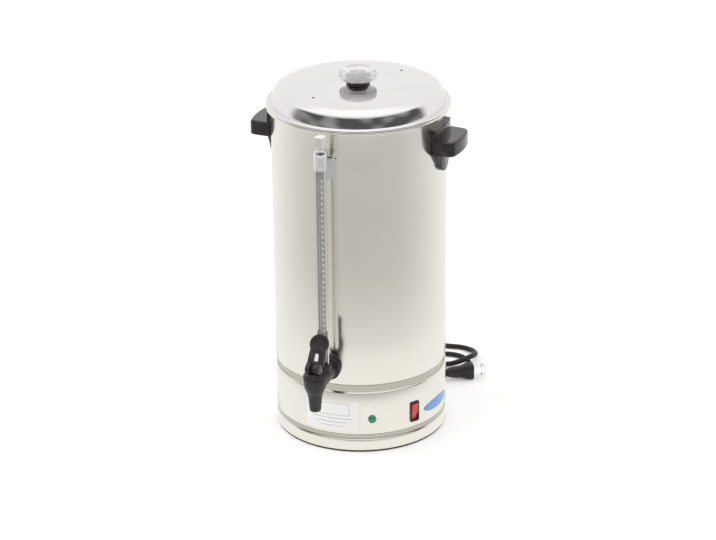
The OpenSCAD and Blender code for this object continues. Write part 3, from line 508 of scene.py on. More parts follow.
def clearMaterial(name, colour, rough, ior, clear=1.0):
    material, tree, shader, at = newMaterial(name)
    used = useGroup(tree, handling, at, Scale=40.0)
    feed(tree, shader, {"Transmission Weight": clear, "IOR": ior,
                        "Base Color": tint(tree, used["Smears"], colour, [c * 0.97 for c in colour]),
                        "Roughness": spread(tree, used["Scratches"], *rough, 0, 1)})
    return material


# painted shade for the pressed bands: how far behind the skirt's face the darkening starts and is deepest,
# and the tone multiplied into the colour there
grooves = {"face": highOf("base_skirt", 0), "start": 0.3, "deep": 1.6, "shade": (0.60, 0.59, 0.57)}
# each row holds what its maker takes after the name

sheetMetals = {
    "wallSteel": ((0.84, 0.81, 0.73), (0.89, 0.865, 0.79), (0.13, 0.19), 0.12, 0.2, True),
    "innerSteel": ((0.55, 0.55, 0.54), (0.68, 0.68, 0.67), (0.28, 0.42), 0.4),
    "perforatedSteel": ((0.60, 0.60, 0.60), (0.74, 0.74, 0.74), (0.22, 0.34), 0.3),
}
polishedMetals = {
    "lidSteel": ((0.82, 0.79, 0.80), (0.77, 0.75, 0.74), (0.035, 0.07)),
    "chrome": ((0.86, 0.86, 0.86), (0.77, 0.77, 0.77), (0.04, 0.10)),
    "capSteel": ((0.88, 0.86, 0.80), (0.80, 0.78, 0.72), (0.12, 0.2)),
    "brass": ((0.80, 0.62, 0.30), (0.66, 0.50, 0.24), (0.15, 0.28)),
}
mouldings = {
    "castAluminium": ((0.50, 0.50, 0.51), (0.62, 0.62, 0.63), (0.35, 0.5), 900.0, 0.5),
    "bakelite": ((0.012, 0.007, 0.008), (0.024, 0.018, 0.019), (0.10, 0.18), 900.0, 0.04, 0.3, 0.3, 1.4),
    "tapPlastic": ((0.018, 0.014, 0.015), (0.040, 0.034, 0.035), (0.26, 0.38), 1500.0, 0.12, 0.15, 0.5, 1.4),
    "switchPlastic": ((0.020, 0.018, 0.018), (0.050, 0.046, 0.046), (0.28, 0.4), 2600.0, 0.25),
    "redPlastic": ((0.62, 0.030, 0.022), (0.74, 0.060, 0.045), (0.16, 0.26), 900.0, 0.05, 0.5, 0.1),
    "greenLens": ((0.010, 0.20, 0.085), (0.030, 0.32, 0.15), (0.10, 0.18), 500.0, 0.10, 0.7, 0.2),
    "cordRubber": ((0.014, 0.010, 0.011), (0.034, 0.028, 0.028), (0.42, 0.55), 2200.0, 0.2, 0.0, 0.5, 1.36),
    "plugPlastic": ((0.020, 0.015, 0.015), (0.045, 0.036, 0.036), (0.38, 0.5), 1800.0, 0.2, 0.0, 0.5, 1.38),
    "footRubber": ((0.020, 0.019, 0.018), (0.050, 0.047, 0.045), (0.6, 0.75), 1200.0, 0.4),
    "coverPaint": ((0.05, 0.05, 0.05), (0.09, 0.09, 0.09), (0.4, 0.55), 1000.0, 0.4),
    "ceramic": ((0.72, 0.68, 0.60), (0.82, 0.79, 0.72), (0.3, 0.4), 900.0, 0.1),
    "leadSleeve": ((0.45, 0.07, 0.05), (0.56, 0.12, 0.09), (0.4, 0.5), 1200.0, 0.1),
    "sheath": ((0.16, 0.15, 0.14), (0.30, 0.28, 0.26), (0.4, 0.55), 900.0, 0.4),
    "stickerWhite": ((0.94, 0.94, 0.92), (0.97, 0.97, 0.95), (0.35, 0.45), 1600.0, 0.05, 0.0, 0.2),
    "stickerInk": ((0.30, 0.30, 0.31), (0.40, 0.40, 0.41), (0.4, 0.5), 1600.0, 0.05),
    "scaleGrey": ((0.60, 0.59, 0.57), (0.68, 0.67, 0.65), (0.3, 0.4), 900.0, 0.05),
    "scaleMarks": ((0.95, 0.95, 0.94), (0.98, 0.98, 0.97), (0.35, 0.45), 900.0, 0.05),
    "badgeBlue": ((0.12, 0.29, 0.66), (0.22, 0.42, 0.80), (0.2, 0.3), 700.0, 0.05, 0.4),
}
clearPlastics = {
    "knobClear": ((0.95, 0.94, 0.95), (0.06, 0.16), 1.49, 0.6),
    "gaugeClear": ((0.985, 0.985, 0.98), (0.01, 0.08), 1.47),
}
looks = {}
for make, table in ((sheetMetal, sheetMetals), (polishedMetal, polishedMetals), (moulded, mouldings),
                    (clearMaterial, clearPlastics)):
    for label, values in table.items():
        looks[label] = make(label, *values)
# the cast aluminium is made metallic; the gauge's scale strip and cup lines get painted light, a faint glow
# that lifts them out of the shade behind the glass and guard
for label, values in (("castAluminium", {"Metallic": 1.0}),
                      ("scaleGrey", {"Emission Color": (0.9, 0.9, 0.88, 1), "Emission Strength": 0.12}),
                      ("scaleMarks", {"Emission Color": (0.9, 0.9, 0.88, 1), "Emission Strength": 0.4})):
    tree = looks[label].node_tree
    feed(tree, tree.nodes["Principled BSDF"], values)
print("materials made")


# mains cord

cordPlan = {
    "radius": 3.5,
    "lead": [(0, 146, 30), (0, 156.2, 29.2), (0, 164, 26), (1, 171.9, 19.6), (3.1, 181.4, 12.8),
             (7.1, 193.9, 7.1), (17.1, 204.9, 4), (31.4, 209.9, 3.5), (45, 210, 3.5), (58.7, 211, 3.5),
             (72.8, 206.4, 3.5), (82.9, 195.7, 3.5), (86.7, 181.2, 3.5), (83.2, 166.9, 3.5),
             (73, 155.8, 3.5), (58, 151.1, 3.5), (42.1, 152, 3.5), (26, 151, 3.5), (10, 149, 3.5),
             (-6, 146, 3.5), (-22, 141, 3.5), (-38, 137, 3.5), (-50, 136, 3.5)],
    "tail": [(-50, 220, 10.5), (-37, 220.5, 9.5), (-21.3, 223, 6.5), (-4.9, 227, 4), (11.7, 231.9, 3.5),
             (27.8, 235, 3.5), (43.1, 236, 3.5), (58.3, 237.6, 3.5), (73.2, 233.1, 4), (83.7, 222, 6),
             (87.3, 207.8, 9), (83.4, 193.4, 10.7), (72.8, 181.1, 8), (58.6, 176.5, 4.5),
             (46.4, 178.2, 3.5), (34.3, 180.5, 3.8), (20.4, 177.1, 6), (9, 166, 9.5), (4.8, 150.8, 10.8),
             (8.9, 135.3, 10.5), (20.3, 124.2, 10), (34, 120.6, 10), (44, 122, 10.5), (50.8, 125.1, 11)],
    "coilAt": (-52, 178), "coilInner": 35, "coilOuter": 42, "coilLow": 3.5, "coilHigh": 10.5,
    "coilTurns": 3.5, "stepDegrees": 15, "coilMoves": (310, 625, 940), "moveDegrees": 40,
}


def coilPoint(travel):
    # where the cord lies after travel degrees: outer column first, then inner, up, and out again
    c = cordPlan
    shift = c["coilOuter"] - c["coilInner"]
    moves = [min(max((travel - start) / c["moveDegrees"], 0), 1) for start in c["coilMoves"]]
    inwards, climb, outwards = moves
    radius = c["coilOuter"] - shift * inwards + shift * outwards
    height = c["coilLow"] + (c["coilHigh"] - c["coilLow"]) * climb
    a = math.radians(-90 - travel)
    return (c["coilAt"][0] + radius * math.cos(a), c["coilAt"][1] + radius * math.sin(a), height)


def makeCord():
    c = cordPlan
    last = int(c["coilTurns"] * 360)
    coil = [coilPoint(t) for t in range(c["stepDegrees"], last - c["stepDegrees"] + 1, c["stepDegrees"])]
    route = c["lead"] + coil + c["tail"]
    clearAll()
    bpy.ops.curve.primitive_bezier_curve_add()
    cord = bpy.context.object
    cord.name = cord.data.name = "mainsCord"
    curve = cord.data
    spline = curve.splines[0]
    spline.bezier_points.add(len(route) - len(spline.bezier_points))
    for knot, point in zip(spline.bezier_points, route):
        knot.co = [v * mm for v in point]
        knot.handle_left_type = knot.handle_right_type = "AUTO"
    curve.dimensions = "3D"
    curve.bevel_depth = c["radius"] * mm
    curve.bevel_resolution = 4
    curve.resolution_u = 6
    curve.use_fill_caps = True
    length = spline.calc_length()
    dress(cord, "cordRubber", "urn", ["cord_lead", "cord_coil", "cord_tail"])
    print("cord length", round(length, 3))
    return cord, length


mainsCord, cordLength = makeCord()


# studio

studio = {
    "floorSize": 14, "key": 28, "fill": 14, "top": 16, "sky": 0.68, "floorWhite": 0.86, "floorGlow": 0.24,
    "mirrorTone": 0.97, "mirrorDark": 0.40, "mirrorReach": (0.2, 0.75), "mirrorSide": (-1.1, 1.0),
    "roomLow": (-0.06, 0.05), "roomHigh": (0.45, 0.62), "roomSide": (-0.22, 0.08), "roomDark": 0.9,
    "roomPatches": (2.6, 0.72), "roof": (0.62, 0.86), "roofGlow": 0.3, "aim": (0, 0, 0.2),
}


def pathMask(tree):
    # what the eye sees directly, in a mirror or through glass, and the mirror rays alone
    rays = tree.nodes.new("ShaderNodeLightPath").outputs
    mirror = rays["Is Glossy Ray"]
    seen = mathNode(tree, "MAXIMUM", rays["Is Camera Ray"], mirror)
    return mathNode(tree, "MAXIMUM", seen, rays["Is Transmission Ray"]), mirror


def towardsCamera(tree, vector):
    # how far a place or a direction lies towards the camera's side, and its height
    x, y, z = splitVector(tree, vector)
    a = math.radians(photoCamera["azimuth"])
    return plus(tree, times(tree, x, math.sin(a)), times(tree, y, -math.cos(a))), z


def makeFloor():
    # white to the eye; mirror rays see it darker away from the urn, most towards the camera, as in a room
    s = studio
    clearAll()
    bpy.ops.mesh.primitive_circle_add(vertices=64, radius=s["floorSize"] / 2, fill_type="NGON")
    floor = bpy.context.object
    floor.name = "floor"
    material = bpy.data.materials.new("floor")
    material.use_nodes = True
    tree = material.node_tree
    shader = tree.nodes["Principled BSDF"]
    mask, mirror = pathMask(tree)
    where = tree.nodes.new("ShaderNodeTexCoord").outputs["Object"]
    ahead = towardsCamera(tree, where)[0]
    length = tree.nodes.new("ShaderNodeVectorMath")
    length.operation = "LENGTH"
    away = feed(tree, length, {0: where}).outputs["Value"]
    side = mathNode(tree, "DIVIDE", ahead, mathNode(tree, "MAXIMUM", away, 0.01))
    dark = times(tree, ramp(tree, away, *s["mirrorReach"]), ramp(tree, side, *s["mirrorSide"]))
    tone = minus(tree, s["mirrorTone"], times(tree, dark, s["mirrorDark"]))
    direct = minus(tree, 1.0, mirror)
    base = tree.nodes.new("ShaderNodeCombineColor")
    feed(tree, base, {channel: times(tree, direct, s["floorWhite"]) for channel in range(3)})
    plain = times(tree, times(tree, mask, direct), s["floorGlow"])
    feed(tree, shader, {"Roughness": 0.9, "Specular IOR Level": 0.1, "Emission Color": (1, 1, 1, 1),
                        "Base Color": base.outputs[0],
                        "Emission Strength": plus(tree, plain, times(tree, mirror, tone))})
    floor.data.materials.append(material)


def makeWorld():
    # a white studio; mirror rays see a dark room behind the camera and a glow from its roof
    s = studio
    world = bpy.context.scene.world or bpy.data.worlds.new("studio")
    bpy.context.scene.world = world
    world.use_nodes = True
    tree = world.node_tree
    tree.nodes.clear()
    out = tree.nodes.new("ShaderNodeOutputWorld")
    back = tree.nodes.new("ShaderNodeBackground")
    tree.links.new(back.outputs[0], out.inputs[0])
    mask, mirror = pathMask(tree)
    look = tree.nodes.new("ShaderNodeTexCoord").outputs["Generated"]
    ahead, up = towardsCamera(tree, look)
    room = times(tree, ramp(tree, up, *s["roomLow"]), minus(tree, 1.0, ramp(tree, up, *s["roomHigh"])))
    room = times(tree, room, ramp(tree, ahead, *s["roomSide"]))
    patches = noiseNode(tree, look, s["roomPatches"][0], 0.0, 0.5)
    room = times(tree, room, spread(tree, patches, s["roomPatches"][1], 1, 0.32, 0.6))
    roof = times(tree, times(tree, ramp(tree, up, *s["roof"]), mirror), s["roofGlow"])
    room = times(tree, times(tree, room, mirror), s["roomDark"])
    bright = plus(tree, s["sky"], times(tree, mask, 1 - s["sky"]))
    shown = times(tree, bright, minus(tree, 1.0, room))
    feed(tree, back, {"Color": (1, 1, 1, 1), "Strength": plus(tree, shown, roof)})


def addLamp(name, at, size, power):
    clearAll()
    bpy.ops.object.light_add(type="AREA", location=at)
    lamp = bpy.context.object
    lamp.name = name
    lamp.data.size = size
    lamp.data.energy = power
    lamp.rotation_euler = (Vector(studio["aim"]) - Vector(at)).to_track_quat("-Z", "Y").to_euler()
    lamp.visible_camera = False
    lamp.visible_glossy = False


def makeStudio():
    makeFloor()
    makeWorld()
    addLamp("keyLamp", (-1.6, -1.2, 2.2), 2.4, studio["key"])
    addLamp("fillLamp", (2.2, -0.6, 1.6), 1.6, studio["fill"])
    addLamp("topLamp", (0.2, 0.4, 2.8), 2.8, studio["top"])
    bpy.context.scene.view_settings.view_transform = "Standard"


makeStudio()
print("studio made")


# body: tank, skirt and foot

bodyR = highOf("base_skirt", 0)
wallGap = 0.05
bodyPlan = {
    "skirtLow": lowOf("base_skirt", 2), "skirtHigh": highOf("base_skirt", 2), "wallLow": 94,
    "rimHigh": highOf("tank", 2), "rimReach": highOf("tank", 0), "sheet": 1, "recess": 2,
    "bead": 1.75, "lowBand": (17, 26), "floor": lowOf("tank", 2) + 18, "neck": 6, "steps": 192,
    "switchHole": (6, 13), "switchAz": 58.2, "switchZ": 46.5, "shadowLipInset": 1.2,
}


def makeTank():
    b = bodyPlan
    inner, neck, bead = bodyR - b["sheet"], bodyR - b["recess"], b["bead"]
    low, wall, rim = b["skirtHigh"] - b["neck"], b["wallLow"], b["rimHigh"]
    beadR, lining = b["rimReach"] - bead, neck - b["sheet"]
    start, length = wall + 1.2, rim - 3.5 - wall - 1.2
    profile = [(neck, low), (neck, wall - 1.4), (neck + 0.25, wall - 0.7), (bodyR - 0.25, wall + 0.5)]
    profile += [(bodyR, start + length * i / 6) for i in range(7)]
    profile += offset(bodyR, rim, [(0.6, -1.9), (2, -1)]) + arc(beadR, rim - bead, bead, 150, 450, 15)
    profile += [(beadR, rim), (bodyR + 1.4, rim), (bodyR, rim - 1.2), (inner, rim - 3.5), (inner, b["floor"]),
                (lining, wall - 0.6), (lining, low)]
    tank = turnPiece("tankWall", profile, b["steps"])
    dress(tank, "wallSteel", "urn", ["tank"])


def makeSkirt():
    b = bodyPlan
    low, high = b["lowBand"]
    foot, top = b["skirtLow"], b["skirtHigh"]
    inner, step = bodyR - b["sheet"], b["recess"] - 0.3
    deep, neck = bodyR - step, bodyR - b["recess"]
    profile = [(inner - 5, foot)] + offset(bodyR, foot, [(-0.8, 0), (-0.2, 0.2), (0, 0.8)])
    profile += [(bodyR, low - 0.3), (bodyR - 0.3, low + 0.3), (deep + 0.2, low + 1.5), (deep, low + 2.1),
                (deep, high - 2.1), (deep + 0.2, high - 1.5), (bodyR - 0.3, high - 0.3), (bodyR, high + 0.3),
                (bodyR, top - 2.3), (bodyR - 0.3, top - 1.5), (neck, top), (neck, top - 1), (inner, top - 3),
                (inner, high + 0.6), (inner - step, high - 1.3), (inner - step, low + 1.3),
                (inner, low - 0.6), (inner, foot + 1), (inner - 5, foot + 1)]
    skirt = turnPiece("baseSkirt", profile, b["steps"])
    halfW, halfH = b["switchHole"]
    hole = addBlock("switchHole", (-halfW, bodyR - 8, b["switchZ"] - halfH),
                    (halfW, bodyR + 8, b["switchZ"] + halfH))
    carve(skirt, place(hole, turn=(0, 0, b["switchAz"] - 180)))
    pick(skirt)
    smoothBy(40)
    dress(skirt, "wallSteel", "urn", ["base_skirt"])


def makeFoot():
    # painted shade: the dark rubber lip reaches out to just inside the skirt's edge, standing in for the
    # shadow in the gap under the base
    outer, high = highOf("foot_ring", 0), highOf("foot_ring", 2)
    inner = outer - 10
    shadowLipR, shadowLipHigh = bodyR - bodyPlan["shadowLipInset"], bodyPlan["skirtLow"] - 0.05
    profile = [(inner, 0.4), (inner + 0.4, 0), (shadowLipR - 0.8, 0), (shadowLipR - 0.2, 0.3), (shadowLipR, 0.9),
               (shadowLipR, shadowLipHigh), (outer, shadowLipHigh), (outer, high), (inner, high)]
    foot = turnPiece("footRing", profile, bodyPlan["steps"])
    dress(foot, "footRubber", "urn", ["foot_ring"])


makeTank()
makeSkirt()
makeFoot()
print("body made")


# lid and knob

lidPlan = {"hemR": highOf("lid", 0), "low": lowOf("lid", 2), "top": highOf("lid", 2), "footR": 110,
           "topR": 101.5, "hem": 1.6, "sheet": 1, "rise": 22, "ventR": 2, "ventAt": 75, "ventAz": -27}


def shoulder(t):
    p = lidPlan
    bend = math.pow(math.sin(math.radians(90 * t)), 0.85)
    return (p["footR"] - (p["footR"] - p["topR"]) * t, p["low"] + 3 + (p["rise"] - 4.5) * bend)


def makeLid():
    p = lidPlan
    foot, low, top, edge = p["footR"], p["low"], p["top"], p["topR"]
    hem = arc(p["hemR"] - p["hem"], low + p["hem"], p["hem"], -160, 120, 14)
    flange = offset(foot, low, [(3.4, 2.5), (2.6, 2.9), (1.7, 2.4), (0.8, 2.4)])
    slope = [shoulder(i / 24) for i in range(25)]
    crown = offset(edge, top, [(-4, -1.4), (-10, -0.8), (-20, -0.45)])
    crown += [(60, top - 0.25), (30, top - 0.1), (0, top)]
    under = [(0, top - 1), (60, top - 1.25), (edge - 20, top - 1.45), (edge - 4.6, top - 2.4)]
    under += [(r - 1, z - 0.8) for r, z in slope[::-3]]
    lid = turnPiece("lidShell", hem + flange + slope + crown + under + [(foot - 1, low + 2.2)],
                    bodyPlan["steps"])
    for side in (0, 180):
        at = metres(azimuth(p["ventAz"] + side, p["ventAt"], top))
        bpy.ops.mesh.primitive_cylinder_add(vertices=24, radius=p["ventR"] * mm, depth=0.01, location=at)
        carve(lid, bpy.context.object)
    pick(lid)
    smoothBy(35)
    dress(lid, "lidSteel", "lid", ["lid"])


knobPlan = {"radius": highOf("knob", 0), "low": lowOf("knob", 2), "high": highOf("knob", 2),
            "collarR": highOf("knob_collar", 0), "collarLow": lowOf("knob_collar", 2)}


def makeKnob():
    k = knobPlan
    r, z0, z1 = k["radius"], k["low"], k["high"]
    grip = offset(0, z0, [(0, 0), (11.6, 0), (14.5, 0.4), (18, 1.0)])
    grip += offset(r, z0, [(-2.4, 1.7), (-0.9, 2.5), (-0.1, 3.4)])
    grip += offset(r, z1, [(-0.1, -4.2), (-0.5, -2.9), (-1.5, -1.6), (-3.2, -0.6), (-4.8, -0.1), (-6.0, 0),
                           (-7.0, -0.3), (-8.2, -0.8)])
    knob = turnPiece("knobGrip", grip + [(11, z1 - 1), (0, z1 - 1)], 96)
    dress(knob, "knobClear", "lid", ["knob"])
    c, low = k["collarR"], k["collarLow"]
    neck = offset(c, low, [(-0.4, 0), (0, 0.4), (0, 1.8), (-0.6, 2.4), (-2.2, 2.8), (-2.6, 4.6)])
    collar = turnPiece("knobCollar", [(0, low)] + neck + [(c - 2.4, z0), (0, z0)], 96)
    dress(collar, "bakelite", "lid", ["knob_collar"])


makeLid()
makeKnob()
print("lid made")


# side handles

handlePlan = {
    "reach": highOf("handle_right", 0), "halfWidth": highOf("handle_right", 1), "sweep": 4.5, "corner": 8,
    "low": lowOf("handle_right", 2) + 29, "thick": 18.5, "high": highOf("handle_right", 2),
    "tip": lowOf("handle_right", 2), "tipR": 17, "plate": 5.5, "lip": 3.5, "topRound": 3.4, "lowRound": 1.2,
    "plateRound": 1.3, "shoulder": 4,
}


def shelfOutline(inset, inner):
    # the shelf seen from above, from the near corner round the swept front to the wall
    h = handlePlan
    radius = (h["halfWidth"] ** 2 + h["sweep"] ** 2) / (2 * h["sweep"])
    middle = h["reach"] - radius
    cornerY = h["halfWidth"] - h["corner"]
    cornerX = middle + math.sqrt((radius - h["corner"]) ** 2 - cornerY ** 2)
    turn = math.degrees(math.atan2(cornerY, cornerX - middle))
    near = arc(cornerX, -cornerY, h["corner"] - inset, -90, -turn, 6)
    front = arc(middle, 0, radius - inset, -turn, turn, 14)
    far = arc(cornerX, cornerY, h["corner"] - inset, turn, 90, 6)
    meet = math.degrees(math.asin((h["halfWidth"] - inset) / inner))
    return near[:-1] + front + far[1:] + arc(0, 0, inner, meet, -meet, 10)


def plateOutline():
    # the backplate with its tongue, as [along the wall, height]
    h = handlePlan
    side, corner = h["halfWidth"], h["shoulder"]
    crown = arc(side - corner, h["high"] - corner, corner, 0, 90, 4)
    crown += arc(corner - side, h["high"] - corner, corner, 90, 180, 4)
    tip = arc(0, h["tip"] + h["tipR"], h["tipR"], 196, 344, 14)
    return crown + [(-side, h["low"] + 2)] + tip + [(side, h["low"] + 2)]


def fitToWall(piece, outer, low, high):
    # keeps what lies between the tank's wall and a cylinder of radius outer
    carve(piece, addRod("wallFace", outer, (0, 0, low), (0, 0, high), 360), "INTERSECT")
    return carve(piece, addRod("wallBack", bodyR + wallGap, (0, 0, low), (0, 0, high), 360))


def makeHandle():
    h = handlePlan
    low, thick, lip = h["low"], h["thick"], h["lip"]
    shelf = [(x, y, low) for x, y in shelfOutline(0, bodyR + wallGap)]
    block = liftPiece("handleBlock", shelf, (0, 0, thick))
    top, clearOfWall = low + thick, bodyR + 0.6
    bevelEdges(block, h["topRound"], 6, lambda p: p.z > top - tiny and math.hypot(p.x, p.y) > clearOfWall)
    bevelEdges(block, h["lowRound"], 3, lambda p: p.z < low + tiny and math.hypot(p.x, p.y) > clearOfWall)
    room = [(x, y, low - 1) for x, y in shelfOutline(lip, bodyR + h["plate"])]
    carve(block, liftPiece("handleHollow", room, (0, 0, thick - lip + 1)))
    plate = liftPiece("handlePlate", [(bodyR - 8, y, z) for y, z in plateOutline()], (20, 0, 0))
    fitToWall(plate, bodyR + h["plate"], 300, 480)
    face = bodyR + h["plate"] - 0.05
    bevelEdges(plate, h["plateRound"], 3, lambda p: math.hypot(p.x, p.y) > face and onPlateEdge(p))
    return joinPieces("handleRight", [block, plate])


def onPlateEdge(p):
    # on the plate's outline: its crown, sides, taper or round tip
    outline = plateOutline()
    for (ay, az), (by, bz) in zip(outline, outline[1:] + outline[:1]):
        a, b, q = Vector((ay, az)), Vector((by, bz)), Vector((p.y, p.z))
        along = max(0, min(1, (q - a).dot(b - a) / (b - a).length_squared))
        if (a + (b - a) * along - q).length < 0.05:
            return True
    return False


def makeHandles():
    right = makeHandle()
    left = copyPiece(right, "handleLeft")
    place(left, turn=(0, 0, 180))
    for piece, node in ((right, "handle_right"), (left, "handle_left")):
        dress(piece, "bakelite", "urn", [node])
        smoothBy(35)


makeHandles()
print("handles made")


# tap: body, bonnet and lever

tapPlan = {
    "axis": (0, -165), "shankZ": 117, "low": lowOf("tap_body", 2), "bonnetLow": lowOf("bonnet", 2) + 4,
    "top": highOf("bonnet", 2), "bowlR": 14.25, "bore": 5, "bowlBore": 10.2, "seat": 110, "shankR": 11,
    "flangeR": 14.5, "threadR": 7.8, "threadEnd": highOf("tap_body", 1), "socketR": 10,
    "socketTop": highOf("tap_body", 2), "gaugeY": -133.5, "glassBore": 6, "glassLow": 121, "voxel": 0.6,
    "ribs": 40, "ringHigh": 4.3, "glassTop": 140,
}


def makeTapBody():
    t = tapPlan
    x, y = t["axis"]
    z0, rim, across, gaugeY = t["low"], t["bonnetLow"], t["shankZ"], t["gaugeY"]
    spout = [(0, 0), (6.6, 0), (7.15, 0.5), (7.5, 3), (8.2, 11), (8.9, 18), (10.2, 24), (12.4, 29),
             (13.7, 33), (t["bowlR"], 38)]
    body = turnPiece("tapBody", offset(0, z0, spout) + [(t["bowlR"], rim), (0, rim)], 64, t["axis"])
    arms = [(t["shankR"], y, -bodyR - 3), (t["flangeR"], -bodyR - 7, -bodyR - 2),
            (t["threadR"], -bodyR - 4, t["threadEnd"])]
    for radius, start, finish in arms:
        carve(body, addRod("tapArm", radius, (x, start, across), (x, finish, across)), "UNION")
    carve(body, addRod("socket", t["socketR"], (x, gaugeY, across), (x, gaugeY, t["socketTop"])), "UNION")
    bores = [(t["bore"], (x, y, z0 - 1), (x, y, z0 + 39)),
             (t["bowlBore"], (x, y, t["seat"]), (x, y, rim + 5)),
             (t["bore"] - 0.4, (x, y, across), (x, t["threadEnd"] + 1, across)),
             (t["glassBore"], (x, gaugeY, t["glassLow"]), (x, gaugeY, t["glassTop"]))]
    for radius, start, finish in bores:
        carve(body, addRod("tapBore", radius, start, finish))
    modify(body, "REMESH", mode="VOXEL", voxel_size=t["voxel"] * mm)
    modify(body, "SMOOTH", factor=0.5, iterations=9)
    pick(body)
    bpy.ops.object.shade_smooth()
    dress(body, "tapPlastic", "urn", ["tap_body"])


def makeBonnet():
    t = tapPlan
    x, y = t["axis"]
    low, top, outer = t["bonnetLow"], t["top"], t["bowlR"]
    ribbed = []
    for i in range(t["ribs"] * 4):
        a = 2 * math.pi * i / (t["ribs"] * 4)
        r = outer + 0.25 - (0.75 if i % 4 in (2, 3) else 0)
        ribbed.append((x + r * math.cos(a), y + r * math.sin(a), low + 0.1))
    ring = liftPiece("bonnetRing", ribbed, (0, 0, t["ringHigh"]), 30)
    dome = offset(outer, low, [(-4.2, -4), (-4.2, 0), (-0.5, 0), (-0.5, 4.6), (-0.9, 5.2), (-1.6, 5.5),
                               (-4.0, 5.6), (-4.6, 6.1), (-5.0, 7.0)])
    cover = turnPiece("bonnetDome", [(0, low - 4)] + dome + [(outer - 5.8, top), (0, top)], 72, t["axis"])
    carve(cover, addRod("stemBore", 2.55, (x, y, low - 5), (x, y, top + 2)))
    bonnet = joinPieces("bonnetCover", [ring, cover])
    carve(bonnet, addRod("springRoom", 6, (x, y, low - 5), (x, y, low + 2.5)))
    smoothBy(30)
    dress(bonnet, "tapPlastic", "urn", ["bonnet"])


leverPlan = {
    "pinZ": 137.556, "lean": -33, "length": 32.5, "discR": highOf("lever", 0), "plateHalf": 11, "thick": 5,
    "window": (-3.4, 2.6, 10.5, 20.5), "camAt": (-4.425, 2.555), "camR": 6.309, "hubR": 3.1, "gap": 3.8,
    "cheek": 5.5, "pinR": 1.35, "ribs": 7,
}


def makeLeverDisc():
    # a shallow dished disc with finger ribs across it
    v = leverPlan
    r, half = v["discR"] - 0.05, v["thick"] / 2
    profile = [(0, -half)] + offset(r, -half, [(-1.2, 0), (-0.3, 0.4), (0, 1.2)])
    profile += offset(r, half, [(0, -1.2), (-0.3, -0.4), (-1.0, 0), (-1.7, -0.1), (-2.3, -0.9), (-3.2, -1.2)])
    pieces = [turnPiece("leverDisc", profile + [(0, half - 1.4)], 72)]
    for i in range(v["ribs"]):
        off = (i - (v["ribs"] - 1) / 2) * 2.6
        long = math.sqrt((r - 2.6) ** 2 - off ** 2)
        rib = addBlock("fingerRib", (-long, off - 0.45, half - 1.6), (long, off + 0.45, half - 0.55))
        pieces.append(roundEdges(rib, 0.35, 2))
    return place(joinPieces("leverDisc", pieces), turn=(90, 0, 0), at=(0, 0, v["length"]))


def makeLeverPlate():
    v = leverPlan
    half, w = v["thick"] / 2, v["plateHalf"]
    low, high = 4.6, v["length"] - 5
    right = [(w - 1.5, low), (w - 0.3, low + 1.5), (w, low + 4), (w - 0.2, low + 11), (w - 1.0, high)]
    outline = [(1.5 - w, low)] + right + [(-px, pz) for px, pz in right[:0:-1]]
    plate = liftPiece("leverPlate", [(px, -half, pz) for px, pz in outline], (0, v["thick"], 0))
    x0, x1, z0, z1 = v["window"]
    carve(plate, addBlock("leverWindow", (x0, -9, z0), (x1, 9, z1)))
    return roundEdges(plate, 0.9, 3, 40)


def makeCheek(side):
    # a side cheek with its round heel, which lifts the stem
    v = leverPlan
    heel = arc(*v["camAt"], v["camR"], 150, 300, 18)
    outline = heel + [(v["hubR"], -0.6), (v["hubR"] + 0.6, 2.5), (5, 9), (-3, 10)]
    start = v["gap"] if side > 0 else -v["gap"] - v["cheek"]
    cheek = liftPiece("leverCheek", [(start, py, pz) for py, pz in outline], (v["cheek"], 0, 0))
    carve(cheek, addRod("pinBore", v["pinR"], (start - 2, 0, 0), (start + v["cheek"] + 2, 0, 0), 32))
    return roundEdges(cheek, 0.45, 2, 50)


def makeLever():
    v = leverPlan
    blade = joinPieces("leverBlade", [makeLeverDisc(), makeLeverPlate()])
    place(blade, turn=(v["lean"], 0, 0))
    lever = joinPieces("tapLever", [blade, makeCheek(1), makeCheek(-1)])
    place(lever, at=(tapPlan["axis"][0], tapPlan["axis"][1], v["pinZ"]))
    smoothBy(35)
    dress(lever, "tapPlastic", "lever", ["lever"])


makeTapBody()
makeBonnet()
makeLever()
print("tap made")


# sight gauge

gaugePlan = {
    "y": -133.5, "low": lowOf("gauge_guard", 2), "guardHigh": highOf("gauge_guard", 2),
    "guardHalf": highOf("gauge_guard", 0), "sheet": 0.8, "lipDepth": 3, "sleeveR": highOf("gauge_sleeve", 0),
    "sleeveLow": lowOf("gauge_sleeve", 2), "sleeveHigh": highOf("gauge_sleeve", 2), "glassR": 4.5,
    "glassT": 1.3, "glassLow": lowOf("gauge_glass", 2), "glassHigh": highOf("gauge_glass", 2), "capLow": 422,
    "capHigh": highOf("gauge_cap", 2), "capFlats": 14, "bracketLow": lowOf("gauge_bracket", 2),
    "bracketHigh": highOf("gauge_bracket", 2), "bracketHalf": 12, "web": 5, "markStep": 7.4, "hem": 1.05,
}


def liftSection(name, section, low, high):
    # a section of [x, y] points round the gauge's axis, lifted from low to high
    y0 = gaugePlan["y"]
    return liftPiece(name, [(x, y + y0, low) for x, y in section], (0, 0, high - low))


